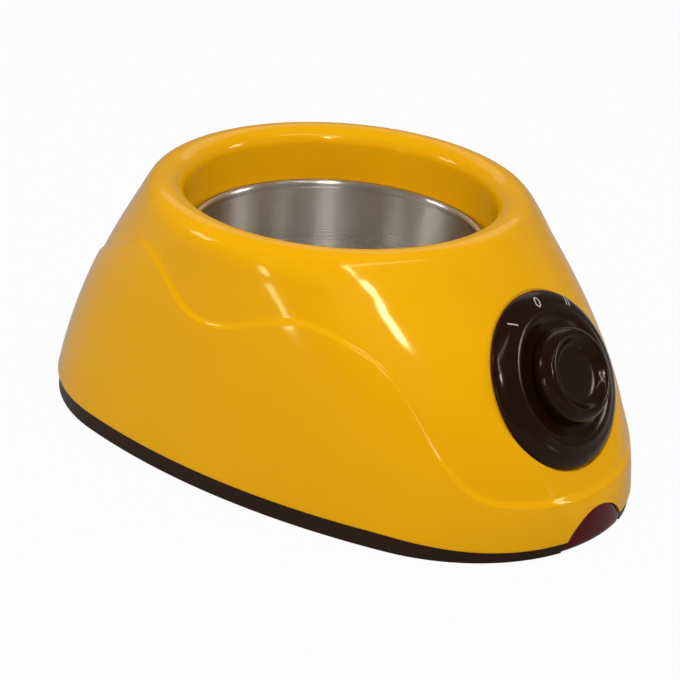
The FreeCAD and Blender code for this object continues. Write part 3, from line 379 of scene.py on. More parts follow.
@dataclass(frozen=True)
class Finish:
    """A finish: colour, gloss and a fine procedural grain with its own bump."""

    name: str
    colour: tuple[float, float, float]
    roughness: float = 0.3
    metallic: float = 0.0
    gloss_spread: float = 0.03
    tone_spread: float = 0.03
    mottle_scale: float = 45.0
    grain_scale: float = 900.0
    grain_depth: float = 0.02
    sheen: float = 0.0
    transmission: float = 0.0
    scatter: float = 0.0
    ior: float = 1.5
    specular: float = 0.5
    tint: tuple[float, float, float] = (1.0, 1.0, 1.0)

    def pattern(self, tree: Tree) -> tuple[bpy.types.NodeSocket, bpy.types.NodeSocket]:
        """Make the broad mottle and the fine grain from Object coordinates."""
        place = tree.add("TexCoord").outputs["Object"]
        broad = tree.add("TexNoise", Vector=place, Scale=self.mottle_scale, Detail=3.0)
        fine = tree.add("TexNoise", Vector=place, Scale=self.grain_scale, Detail=2.0)
        return broad.outputs["Fac"], fine.outputs["Fac"]

    def material(self) -> bpy.types.Material:
        """Build the material, once for each name.

        Returns:
            The material, with its colour and roughness varied by the mottle and its bump by the grain.
        """
        known = bpy.data.materials.get(self.name)
        if known:
            return known
        tree = Tree(self.name)
        broad, fine = self.pattern(tree)
        tone = tree.add("MixRGB", blend_type="MIX")
        shades = [(*(min(1.0, part * change) for part in self.colour), 1.0)
                  for change in (1 - self.tone_spread, 1 + self.tone_spread)]
        low, high = self.roughness - self.gloss_spread, self.roughness + self.gloss_spread
        bump = tree.add("Bump", Strength=self.grain_depth, Distance=GRAIN_HEIGHT, Height=fine)
        tree.put({
            "Base Color": tree.feed(tone, (tree.remap(broad, 0.0, 1.0), *shades)),
            "Roughness": tree.math("ADD", tree.remap(broad, low, high), tree.remap(fine, -0.01, 0.01)),
            "Normal": bump.outputs[0], "Metallic": self.metallic, "IOR": self.ior,
            "Specular IOR Level": self.specular, "Specular Tint": (*self.tint, 1.0),
            "Sheen Weight": self.sheen, "Transmission Weight": self.transmission,
        })
        if self.scatter:
            tree.put({"Subsurface Weight": self.scatter, "Subsurface Scale": SCATTER_REACH})
        return tree.material


@dataclass(frozen=True)
class SpunFinish(Finish):
    """A finish with fine rings round the pot's axis, as a lathe or a polishing wheel leaves them."""

    ring_scale: float = 2600.0
    grooves: float = 0.9

    def pattern(self, tree: Tree) -> tuple[bpy.types.NodeSocket, bpy.types.NodeSocket]:
        """Make rings from distance to the axis and height, and stretch highlights across the rings."""
        place = tree.add("TexCoord").outputs["Object"]
        centred = tree.add("Mapping", Vector=place)
        centred.inputs["Location"].default_value = (0.0, -POT_SEAT.origin[1] * MM, 0.0)
        parts = tree.nodes.new("ShaderNodeSeparateXYZ")
        tree.links.new(centred.outputs[0], parts.inputs[0])
        x, y, z = parts.outputs
        reach = tree.math("SQRT", tree.math("ADD", tree.math("MULTIPLY", x, x), tree.math("MULTIPLY", y, y)))
        spun = tree.vector(reach, 0.0, z)
        rings = tree.add("TexNoise", Vector=spun, Scale=self.ring_scale, Detail=4.0)
        broad = tree.add("TexNoise", Vector=spun, Scale=self.mottle_scale, Detail=3.0)
        tree.put({"Tangent": tree.vector(tree.math("MULTIPLY", y, -1.0), x, 0.0),
                  "Anisotropic": self.grooves, "Anisotropic Rotation": 0.25})
        return broad.outputs["Fac"], rings.outputs["Fac"]


class Finishes(Enum):
    """Every finish of the melting pot."""

    YELLOW = Finish("gloss_yellow", (0.86, 0.41, 0.001), 0.1, gloss_spread=0.01, tone_spread=0.015,
                    grain_scale=420.0, grain_depth=0.008, specular=0.3, tint=(1.0, 0.9, 0.42))
    BROWN = Finish("gloss_brown", (0.014, 0.004, 0.002), 0.15, gloss_spread=0.02, tone_spread=0.08,
                   grain_scale=700.0, grain_depth=0.015, specular=0.22, tint=(1.0, 0.72, 0.55))
    BASE = Finish("satin_brown", (0.019, 0.009, 0.006), 0.38, gloss_spread=0.05, tone_spread=0.1,
                  grain_scale=1800.0, grain_depth=0.1, specular=0.25, tint=(1.0, 0.6, 0.5))
    MARK = Finish("mark_white", (0.5, 0.44, 0.4), 0.4, grain_scale=2500.0, grain_depth=0.05)
    ALUMINIUM = SpunFinish("spun_aluminium", (0.7, 0.68, 0.65), 0.28, 1.0, gloss_spread=0.03,
                           tone_spread=0.04, grain_depth=0.12)
    PRESSED = SpunFinish("pressed_aluminium", (0.5, 0.5, 0.49), 0.42, 1.0, gloss_spread=0.06,
                         tone_spread=0.06, grain_depth=0.2, ring_scale=1400.0)
    STEEL = Finish("zinc_steel", (0.5, 0.5, 0.5), 0.34, 1.0, tone_spread=0.08, grain_scale=1500.0,
                   grain_depth=0.08)
    LENS = Finish("red_lens", (0.08, 0.001, 0.003), 0.1, tone_spread=0.05, grain_scale=500.0,
                  grain_depth=0.01, transmission=0.1, scatter=0.1, ior=1.49, specular=0.25,
                  tint=(1.0, 0.8, 0.8))
    RUBBER = Finish("black_rubber", (0.02, 0.02, 0.02), 0.75, tone_spread=0.15, grain_scale=2200.0,
                    grain_depth=0.3)
    SILICONE = Finish("grey_silicone", (0.35, 0.33, 0.3), 0.55, tone_spread=0.06, grain_depth=0.08,
                      scatter=0.2)
    MICA = Finish("mica_sheet", (0.42, 0.36, 0.26), 0.5, tone_spread=0.18, mottle_scale=220.0,
                  grain_scale=1600.0, grain_depth=0.2, sheen=0.2)
    ELEMENT = Finish("wound_ribbon", (0.33, 0.3, 0.27), 0.42, 1.0, tone_spread=0.2, mottle_scale=300.0,
                     grain_scale=1900.0, grain_depth=0.3)
    PHENOLIC = Finish("black_phenolic", (0.03, 0.03, 0.03), 0.45, tone_spread=0.12, grain_depth=0.1)
    BRASS = Finish("stamped_brass", (0.6, 0.45, 0.2), 0.3, 1.0, tone_spread=0.08, grain_depth=0.08)
    NYLON = Finish("white_nylon", (0.7, 0.7, 0.66), 0.45, tone_spread=0.04, grain_depth=0.06, scatter=0.2)
    LAMP = Finish("neon_glass", (0.9, 0.45, 0.25), 0.08, tone_spread=0.04, grain_depth=0.01,
                  transmission=0.8, ior=1.48)
    SLEEVE = Finish("lead_sleeve", (0.45, 0.43, 0.4), 0.6, tone_spread=0.08, grain_scale=1600.0,
                    grain_depth=0.15)


# Pieces in the scene


def linked(name: str, data: bpy.types.ID) -> bpy.types.Object:
    """Put new data into the scene as an object."""
    piece = bpy.data.objects.new(name, data)
    bpy.context.scene.collection.objects.link(piece)
    return piece


def solid(name: str, mesh: Mesh) -> bpy.types.Object:
    """Make an object from points in millimetres and faces."""
    data = bpy.data.meshes.new(name)
    data.from_pydata((mesh[0] * MM).tolist(), [], mesh[1])
    return linked(name, data)


def show(name: str, mesh: Mesh, body: str, finish: Finishes,
         replaces: tuple[str, ...] = (), crease: float = 32.0) -> bpy.types.Object:
    """Make a piece and tie it to the frame.

    Args:
        name: The piece's name.
        mesh: Points in millimetres and faces.
        body: The frame body that it rides on.
        finish: The finish that it wears.
        replaces: Frame nodes that it stands for.
        crease: Angle in degrees over which an edge shades sharp.

    Returns:
        The piece.
    """
    piece = solid(name, mesh)
    data = piece.data
    data.materials.append(finish.value.material())
    shade(piece, crease)
    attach(piece, body)
    if replaces:
        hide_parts(*replaces)
    LOG.info("%s: %d points, %d faces, on %s", name, len(data.vertices), len(data.polygons), body)
    return piece


def shade(piece: bpy.types.Object, crease: float = 32.0) -> None:
    """Shade a piece smooth, with edges over the crease angle sharp."""
    data = piece.data
    data.polygons.foreach_set("use_smooth", np.ones(len(data.polygons), bool))
    data.set_sharp_from_angle(angle=math.radians(crease))
    data.update()


def carve(piece: bpy.types.Object, cutter: Mesh, crease: float = 32.0) -> None:
    """Take a closed shape out of a piece, exactly, and shade what is left.

    Args:
        piece: The piece to cut.
        cutter: Points in millimetres and faces of the shape to take out.
        crease: Angle in degrees over which an edge shades sharp.
    """
    tool = solid("cutter", cutter)
    data = tool.data
    change = piece.modifiers.new("carve", "BOOLEAN")
    change.object = tool
    change.operation = "DIFFERENCE"
    change.solver = "EXACT"
    graph = bpy.context.evaluated_depsgraph_get()
    graph.update()
    cut = bpy.data.meshes.new_from_object(piece.evaluated_get(graph))
    piece.modifiers.remove(change)
    spare = piece.data
    name = spare.name
    piece.data = cut
    bpy.data.meshes.remove(spare)
    cut.name = name
    bpy.data.objects.remove(tool)
    bpy.data.meshes.remove(data)
    shade(piece, crease)


# Housing


@dataclass(frozen=True)
class EggForm:
    """The housing's outside: an oval of four arcs that turns into a circle as it rises."""

    side_radius: float = 222.3
    rear_radius: float = 59.9
    front_radius: float = 55.5
    half_length: float = 100.0
    part_line: float = 6.0
    lip_level: float = 76.8
    shoulder: float = 60.5
    offset: float = 5.4
    straightness: float = 0.29
    fullness: float = 2.05
    lean: float = 1.7
    flank_weight: float = 0.55
    dip_depth: float = 2.4
    dip_start: float = 56.0
    dip_run: float = 40.0
    dip_reach: float = 24.0

    @property
    def turns(self) -> tuple[float, float, float, float]:
        """Turn of the tail arc and of the nose arc from +Y, and where the flank arcs' centres lie."""
        span = 2 * self.half_length - self.rear_radius - self.front_radius
        to_tail = self.side_radius - self.rear_radius
        to_nose = self.side_radius - self.front_radius
        behind = (span ** 2 + to_tail ** 2 - to_nose ** 2) / (2 * span)
        reach = math.sqrt(to_tail ** 2 - behind ** 2)
        return math.atan2(reach, behind), math.pi - math.atan2(reach, span - behind), behind, reach

    def angles(self, count: int) -> Array:
        """Space normal angles along the parting line, a little wider on the flat flanks.

        Args:
            count: Number of angles.

        Returns:
            Angles from +X, rising, over one turn.
        """
        tail, nose, _, _ = self.turns
        quarter = math.pi / 2
        knots = np.array([quarter - tail, quarter + tail, quarter + nose, 5 * quarter - nose,
                          5 * quarter - tail])
        flank = self.side_radius * self.flank_weight
        run = np.diff(knots) * [self.rear_radius, flank, self.front_radius, flank]
        total = np.r_[0.0, np.cumsum(run)]
        return np.interp(np.arange(count) / count * total[-1], total, knots)

    def at(self, angle: Array, rise: Array, inset: Array | float = 0.0) -> Array:
        """Give points of the form.

        At each rise the section is four tangent arcs, centre plus radius times the normal. Centres
        and radii run in proportion from the oval to the lip's circle, and the section leans back.

        Args:
            angle: Normal angle from +X.
            rise: 0 at the parting line, 1 at the lip.
            inset: How far inside the form, in millimetres.

        Returns:
            Points, with the coordinates on the last axis.
        """
        angle, rise, inset = np.broadcast_arrays(angle, rise, inset)
        tail, nose, behind, reach = self.turns
        share = self.straightness * rise + (1 - self.straightness) * rise ** self.fullness
        shift = share * self.offset - self.lean * 4 * rise * (1 - rise)
        tail_y = (1 - share) * (self.half_length - self.rear_radius) + shift
        nose_y = shift - (1 - share) * (self.half_length - self.front_radius)
        flank_y = tail_y - (1 - share) * behind
        off = np.abs(np.arctan2(-np.cos(angle), np.sin(angle)))
        side = np.sign(np.cos(angle))
        on_tail = off <= tail
        on_nose = off >= nose
        own = np.where(on_tail, self.rear_radius, np.where(on_nose, self.front_radius, self.side_radius))
        radius = (1 - share) * own + share * self.shoulder - inset
        centre_x = np.where(on_tail | on_nose, 0.0, -side * (1 - share) * reach)
        centre_y = np.where(on_tail, tail_y, np.where(on_nose, nose_y, flank_y))
        level = self.part_line + rise * (self.lip_level - self.part_line)
        return np.stack([centre_x + radius * np.cos(angle), centre_y + radius * np.sin(angle), level], axis=-1)

    def drop(self, y: Array, z: Array) -> Array:
        """Say how far the nose's parting line draws a place down: most on the line itself."""
        along = np.clip((-y - self.dip_start) / self.dip_run, 0, 1)
        above = np.clip(1 - (z - self.part_line) / self.dip_reach, 0, 1) ** 2
        below = np.clip((z - 1) / (self.part_line - 1), 0, 1)
        return self.dip_depth * smoothstep(along) * np.minimum(above, below)

    def dipped(self, points: Array) -> Array:
        """Draw points down with the nose's parting line."""
        return points - self.drop(points[..., 1], points[..., 2])[..., None] * [0.0, 0.0, 1.0]


@dataclass(frozen=True)
class Housing:
    """The yellow shell: form, moulded wave, rolled lip, collar and hollow, with the dial's seat."""

    form: EggForm = EggForm()
    columns: int = 440
    relief: float = 0.8
    band: float = 1.1
    edge: float = 0.5
    blend_start: tuple[float, float] = (0.93, 0.88)
    blend_turn: tuple[float, float] = (28.0, 38.0)
    ahead_start: float = 0.15
    ahead_run: float = 0.4
    lip_radius: float = 53.95
    lip_width: float = 5.95
    lip_rise: float = 5.2
    collar_foot: float = 62.8
    collar_wall: float = 2.4
    shell_wall: float = 2.4
    dial_hole: float = 27.4
    dial_floor: float = 1.5
    bush_hole: float = 5.0
    seat_under: float = 3.9
    facet_softness: float = 2.0
    lens_radius: float = 16.25
    lens_level: float = -4.9
    inlet_hole: float = 4.25

    def wave(self, y: Array) -> tuple[Array, Array]:
        """Give the level and the slope of the wave's crest line at each y."""
        table = np.array([
            (110.0, 30.7), (86.0, 39.9), (70.0, 50.7), (57.5, 57.0), (44.6, 64.4), (32.4, 67.7),
            (24.3, 64.0), (14.1, 56.6), (5.5, 54.1), (-5.7, 56.0), (-16.2, 60.1), (-28.5, 62.8),
            (-41.3, 59.7), (-57.2, 49.9), (-70.1, 33.6), (-80.5, 22.2), (-91.0, 18.3), (-110.0, 16.5),
        ])[::-1]
        return natural_spline(table[:, 0], table[:, 1], y)

    def crest(self, angle: Array) -> tuple[Array, Array]:
        """Find where each column crosses the wave, by halving, and how wide its soft step is there.

        Args:
            angle: Normal angle of each column.

        Returns:
            The rise of the crossing and half the step's height as a rise.
        """
        low, high = np.zeros_like(angle), np.ones_like(angle)
        for _ in range(26):
            middle = (low + high) / 2
            point = self.form.at(angle, middle)
            under = point[:, 2] < self.wave(point[:, 1])[0]
            low, high = np.where(under, middle, low), np.where(under, high, middle)
        slope = self.wave(self.form.at(angle, low)[:, 1])[1]
        return low, self.band * np.sqrt(1 + slope ** 2) / (self.form.lip_level - self.form.part_line)

    def press(self, points: Array, limit: Array | float) -> Array:
        """Flatten what stands over the dial's plane, with a soft bend at the edge.

        The height over the plane becomes a smooth minimum of itself and the limit.
        """
        height = DIAL_SEAT.height(points)
        over = np.maximum(self.facet_softness - np.abs(height - limit), 0) ** 2 / (4 * self.facet_softness)
        change = np.minimum(height, limit) - over - height
        return points + change[..., None] * DIAL_SEAT.axes[2]

    def lip_point(self, angle: Array, turn: Array, inset: float = 0.0) -> Array:
        """Give a point on the lip: an ellipse of the given turn, carried round the pot's axis."""
        reach = self.lip_radius + (self.lip_width - inset) * np.cos(turn)
        level = self.form.lip_level + (self.lip_rise - inset) * np.sin(turn)
        return self.ring_point(angle, reach, level)

    def ring_point(self, angle: Array, reach: Array | float, level: Array | float) -> Array:
        """Give points round the pot's axis, at a distance and a level."""
        reach, level, angle = np.broadcast_arrays(reach, level, angle)
        return np.stack([reach * np.cos(angle), self.form.offset + reach * np.sin(angle), level], axis=-1)

    def outside(self, angle: Array) -> Array:
        """Work out the rings up the outside, from the lower edge to the foot of the lip.

        Below the wave the form stands at its full size. Over the wave's step it draws in by the
        relief as a smoothstep of the height in the step.
        """
        crest, half = self.crest(angle)
        span = self.form.lip_level - self.form.part_line
        start = self.edge / span
        low = np.linspace(0, 1, 58)[:, None]
        step = np.linspace(0, 1, 15)[1:, None]
        high = np.linspace(0, 1, 30)[1:, None]
        lower = start + (crest - half - start) * low
        middle = crest - half + 2 * half * step
        upper = crest + half + (self.blend(angle, crest, half) - crest - half) * high
        rise = np.vstack([lower, middle, upper])
        mask = np.vstack([np.zeros_like(lower), np.broadcast_to(smoothstep(step), middle.shape),
                          np.ones_like(upper)])
        inset = self.relief * mask * (1 - rise ** 8)
        body = self.press(self.form.at(angle, rise, inset), self.relief * (1 - mask))
        turn = np.linspace(0, math.pi / 2, 5)[:-1, None]
        foot = self.form.at(angle, start * (1 - np.cos(turn)), self.edge * (1 - np.sin(turn)))
        return np.concatenate([foot, body])

    def ahead(self, angle: Array) -> Array:
        """Weigh each column: 0 on the sides and behind, 1 towards the nose, with a soft change."""
        return smoothstep(np.clip((-np.sin(angle) - self.ahead_start) / self.ahead_run, 0, 1))

    def blend(self, angle: Array, crest: Array, half: Array) -> Array:
        """Say at which rise each column starts to bend into the lip: always over the wave's step."""
        side, front = self.blend_start
        return np.maximum(side + (front - side) * self.ahead(angle), crest + half + 0.02)

    def first_turn(self, angle: Array) -> Array:
        """Say where on the lip's ellipse each column arrives, in radians."""
        side, front = np.radians(self.blend_turn)
        return side + (front - side) * self.ahead(angle)

    def shoulder(self, angle: Array) -> Array:
        """Blend the outside into the lip with a Hermite curve in each column.

        The curve leaves along the flank and arrives along the lip, both at the chord's length.
        """
        top = self.blend(angle, *self.crest(angle))
        rise = np.stack([top - 0.01, top])
        ends = self.press(self.form.at(angle, rise, self.relief * (1 - rise ** 8)), 0.0)
        first = self.first_turn(angle)
        goal = self.lip_point(angle, np.stack([first, first + 0.01]))
        start, finish = ends[1], goal[0]
        reach = np.linalg.norm(finish - start, axis=-1, keepdims=True)
        leave, arrive = (way / np.linalg.norm(way, axis=-1, keepdims=True) * reach
                         for way in (ends[1] - ends[0], goal[1] - goal[0]))
        t = np.linspace(0, 1, 26)[1:-1, None, None]
        return ((2 * t ** 3 - 3 * t ** 2 + 1) * start + (t ** 3 - 2 * t ** 2 + t) * leave
                + (3 * t ** 2 - 2 * t ** 3) * finish + (t ** 3 - t ** 2) * arrive)

    def rings(self) -> Array:
        """Put all rings in order: outside, shoulder, lip, well, collar and the hollow's wall."""
        angle = self.form.angles(self.columns)
        lip = self.lip_point(angle, np.linspace(self.first_turn(angle), math.pi, 30))
        well = self.lip_radius - self.lip_width
        wall = [(well, self.form.lip_level - drop) for drop in (1.0, 4.0, 8.0, 12.0, 13.4)]
        foot = [(well + 0.15, self.collar_foot + 0.15), (well + 0.5, self.collar_foot),
                (well + self.collar_wall, self.collar_foot), (well + self.collar_wall, self.collar_foot + 8.0),
                (well + self.collar_wall + 1.0, self.form.lip_level - 2.6),
                (self.lip_radius + 0.4, self.form.lip_level - 1.4)]
        rings = np.array([self.ring_point(angle, *place) for place in wall + foot])
        rise = np.linspace(0.94, 0.0, 18)[:, None]
        hollow = self.form.at(angle, rise, self.shell_wall + self.relief / 2)
        hollow = self.press(hollow, -self.seat_under)
        rings = np.concatenate([self.outside(angle), self.shoulder(angle), lip, rings, hollow])
        return self.form.dipped(rings)

    def lens_cutter(self) -> Mesh:
        """Make the round prism of the lens window, along Y."""
        count = 160
        turn = np.arange(count) * TAU / count
        x, z = self.lens_radius * np.cos(turn), self.lens_level + self.lens_radius * np.sin(turn)
        points = [np.stack([x, np.full(count, y), z], axis=-1) for y in (-88.0, -108.0)]
        faces = grid_faces(2, count)
        faces += [tuple(range(count - 1, -1, -1)), tuple(range(count, 2 * count))]
        return np.vstack(points), faces

    def build(self) -> bpy.types.Object:
        """Make the shell and cut the dial's recess, the lens window and the cord inlet."""
        rings = self.rings()
        mesh = (rings.reshape(-1, 3), grid_faces(len(rings), self.columns, wrap_rows=True))
        shell = show("housing_body", mesh, "base", Finishes.YELLOW, ("housing_shell",))
        floor = -self.dial_floor
        recess = [(0, -8, 0), (self.bush_hole, -8, 0), (self.bush_hole, floor, 0), (self.dial_hole, floor, 0),
                  (self.dial_hole, 30, 0), (0, 30, 0)]
        carve(shell, DIAL_SEAT.place(lathe(rounded(recess), 180)))
        carve(shell, self.lens_cutter())
        inlet = [(0, -14, 0), (self.inlet_hole, -14, 0), (self.inlet_hole, 12, 0), (0, 12, 0)]
        carve(shell, INLET_SEAT.place(lathe(rounded(inlet), 64)))
        return shell


# Base


@dataclass(frozen=True)
class Base:
    """The brown base: band, floor with vents and screw recesses, rubber feet and screws."""

    form: EggForm = EggForm()
    columns: int = 300
    stand: float = 0.35
    floor: float = 3.05
    inset: float = 0.55
    wall: float = 2.2
    rim_inset: float = 3.7
    rim_wall: float = 2.0
    rim_top: float = 8.5
    screw_place: tuple[float, float] = (44.0, 52.0)
    foot_place: tuple[float, float] = (30.0, 74.0)
    slot_pitch: float = 7.0
    slot_width: float = 2.5
    slot_length: float = 30.0

    def corners(self, place: tuple[float, float]) -> list[Seat]:
        """Give the four mirrored seats of a place."""
        return [Seat((x * place[0], y * place[1], 0.0)) for x, y in ((1, 1), (-1, 1), (-1, -1), (1, -1))]

    def pan(self) -> bpy.types.Object:
        """Make the pan: rings of the parting oval at each inset and level, closed by two flat caps."""
        top = self.stand + self.floor
        line = self.form.part_line
        profile = rounded([
            (4.0, self.stand, 0), (self.inset, self.stand, 0.6), (self.inset, line, 0.25),
            (self.inset + self.wall, line, 0.2), (self.inset + self.wall, top, 0),
            (self.rim_inset, top, 0), (self.rim_inset, self.rim_top, 0.3),
            (self.rim_inset + self.rim_wall, self.rim_top, 0.3), (self.rim_inset + self.rim_wall, top, 0),
        ])
        angle = self.form.angles(self.columns)
        rings = self.form.at(angle, np.zeros((1, 1)), profile[:, :1])
        rings[..., 2] = profile[:, 1:]
        rings = self.form.dipped(rings)
        count = len(rings) * self.columns
        faces = grid_faces(len(rings), self.columns)
        faces += [tuple(range(self.columns - 1, -1, -1)), tuple(range(count - self.columns, count))]
        piece = show("base_pan", (rings.reshape(-1, 3), faces), "base", Finishes.BASE,
                     ("base_plate",))
        slots = []
        for step in range(-3, 4):
            x = step * self.slot_pitch
            low = (x - self.slot_width / 2, self.form.offset - self.slot_length / 2, -1.0)
            slots.append(box_mesh(low, (x + self.slot_width / 2, low[1] + self.slot_length, top + 1)))
        for seat in self.corners(self.screw_place):
            drill = [(0, -1, 0), (3.1, -1, 0), (3.1, 3.2, 0), (1.35, 3.2, 0), (1.35, 9, 0), (0, 9, 0)]
            slots.append(seat.place(lathe(rounded(drill), 48)))
        pocket = [(0, -1, 0), (6.05, -1, 0), (6.05, 2.2, 0), (0, 2.2, 0)]
        slots += [seat.place(lathe(rounded(pocket), 64)) for seat in self.corners(self.foot_place)]
        carve(piece, joined(slots))
        carve(piece, Housing().lens_cutter())
        return piece

    def sleeves(self) -> bpy.types.Object:
        """Make the four screw sleeves that rise from the floor."""
        ring = rounded([(1.35, 3.3, 0), (5.0, 3.3, 0), (5.0, 6.0, 0.3), (1.35, 6.0, 0.2)], closed=True)
        mesh = joined([seat.place(lathe(ring, 48, closed=True)) for seat in self.corners(self.screw_place)])
        return show("base_sleeves", mesh, "base", Finishes.BASE)

    def feet(self) -> bpy.types.Object:
        """Make the four rubber feet."""
        pad = rounded([(0, 0.25, 0), (3.6, 0.25, 0.2), (4.0, 0.0, 0.3), (6.0, 0.0, 0.7), (6.0, 2.2, 0.2),
                       (0, 2.2, 0)])
        mesh = joined([seat.place(lathe(pad, 64)) for seat in self.corners(self.foot_place)])
        return show("feet_pads", mesh, "base", Finishes.RUBBER, ("rubber_feet",))

    def screws(self) -> bpy.types.Object:
        """Make the four pan-head screws, with a cross recess in each head."""
        shape = rounded([(0, 1.4, 0), (1.6, 1.45, 1.0), (2.8, 2.1, 0.6), (2.8, 3.2, 0.1), (1.3, 3.2, 0),
                         (1.3, 14.6, 0.3), (0, 15.2, 0)])
        seats = self.corners(self.screw_place)
        mesh = joined([seat.place(lathe(shape, 40)) for seat in seats])
        piece = show("base_screw_set", mesh, "base", Finishes.STEEL, ("base_screws",))
        cross = []
        for seat in seats:
            for wide, deep in ((1.5, 0.25), (0.25, 1.5)):
                cross.append(seat.place(box_mesh((-wide, -deep, 0.0), (wide, deep, 2.4))))
        for arm in (cross[0::2], cross[1::2]):
            carve(piece, joined(arm))
        return piece


# Lens and cord inlet


@dataclass(frozen=True)
class Lens:
    """The dark red lens at the foot of the nose."""

    radius: float = 16.0
    level: float = -4.9
    stand: float = 0.6
    middle: float = 4.2
    thickness: float = 2.4
    sink: float = 0.6
    foot_run: float = 1.8
    foot_sink: float = 0.7
    columns: int = 128
    rows: int = 22

    def depth(self, x: Array, z: Array) -> Array:
        """Give the nose's y at a place: the nose arc below the parting line, the form above it."""
        form = EggForm()
        level = z
        for _ in range(5):
            level = z + form.drop(np.array(-form.half_length), level)
        rise = np.maximum(level - form.part_line, 0) / (form.lip_level - form.part_line)
        tip = form.at(np.array(-math.pi / 2), rise)[..., 1]
        return tip + form.front_radius - np.sqrt(form.front_radius ** 2 - x ** 2)

    def build(self) -> bpy.types.Object:
        """Make the lens: rings of an arch outline drawn in towards its middle, domed in front.

        The outline is an arc of the circle round (0, level), closed by a line at the foot. The
        front is the nose's surface, sunk with the cube of the distance from the middle and drawn
        in towards the lower edge. The back is the same outline, a wall's thickness behind.
        """
        first = math.asin((self.stand - self.level) / self.radius)
        turn = np.linspace(first, math.pi - first, self.columns // 2 + 1)
        arch = np.stack([self.radius * np.cos(turn), self.level + self.radius * np.sin(turn)], axis=-1)
        line = np.linspace(arch[-1, 0], arch[0, 0], self.columns // 2 + 1)[1:-1]
        outline = np.vstack([arch, np.stack([line, np.full_like(line, self.stand)], axis=-1)])
        centre = np.array([0.0, self.middle])
        share = np.sin(np.linspace(0, math.pi / 2, self.rows + 1))[1:, None, None]
        flat = centre + share * (outline - centre)
        x, z = flat[..., 0], flat[..., 1]
        low = np.clip((self.stand + self.foot_run - z) / self.foot_run, 0, 1)
        front = self.depth(x, z) + self.sink * share[..., 0] ** 3 + self.foot_sink * low ** 2
        back = self.depth(x, z) + self.thickness
        sides = [np.stack([x, y, z], axis=-1) for y in (back, front[::-1])]
        sides[1][..., 0], sides[1][..., 2] = x[::-1], z[::-1]
        grid = np.concatenate(sides)
        count = grid.shape[0] * grid.shape[1]
        columns = grid.shape[1]
        tip = self.depth(np.array(0.0), np.array(self.middle))
        poles = [[0, tip + self.thickness, self.middle], [0, tip, self.middle]]
        faces = grid_faces(len(grid), columns) + fan_faces(count, 0, columns, True)
        faces += fan_faces(count + 1, count - columns, columns, False)
        mesh = (np.vstack([grid.reshape(-1, 3), poles]), faces)
        return show("lens_window", mesh, "base", Finishes.LENS, ("indicator_lens",), 50.0)


@dataclass(frozen=True)
class CordInlet:
    """The flanged bush in the tail wall."""

    bore: float = 3.2
    barrel: float = 4.2
    flange: float = 5.5
    thickness: float = 1.2
    length: float = 9.0

    def build(self) -> bpy.types.Object:
        """Make the bush as a closed ring with a rounded flange."""
        ring = rounded([
            (self.bore, -self.length, 0.2), (self.barrel, -self.length, 0.2), (self.barrel, 0.05, 0),
            (self.flange, 0.05, 0.1), (self.flange, self.thickness, 0.6), (self.bore, self.thickness, 0.5),
        ], closed=True)
        mesh = INLET_SEAT.place(lathe(ring, 72, closed=True))
        return show("inlet_ring", mesh, "base", Finishes.BASE, ("cord_inlet_bush",))


# Pot and dish


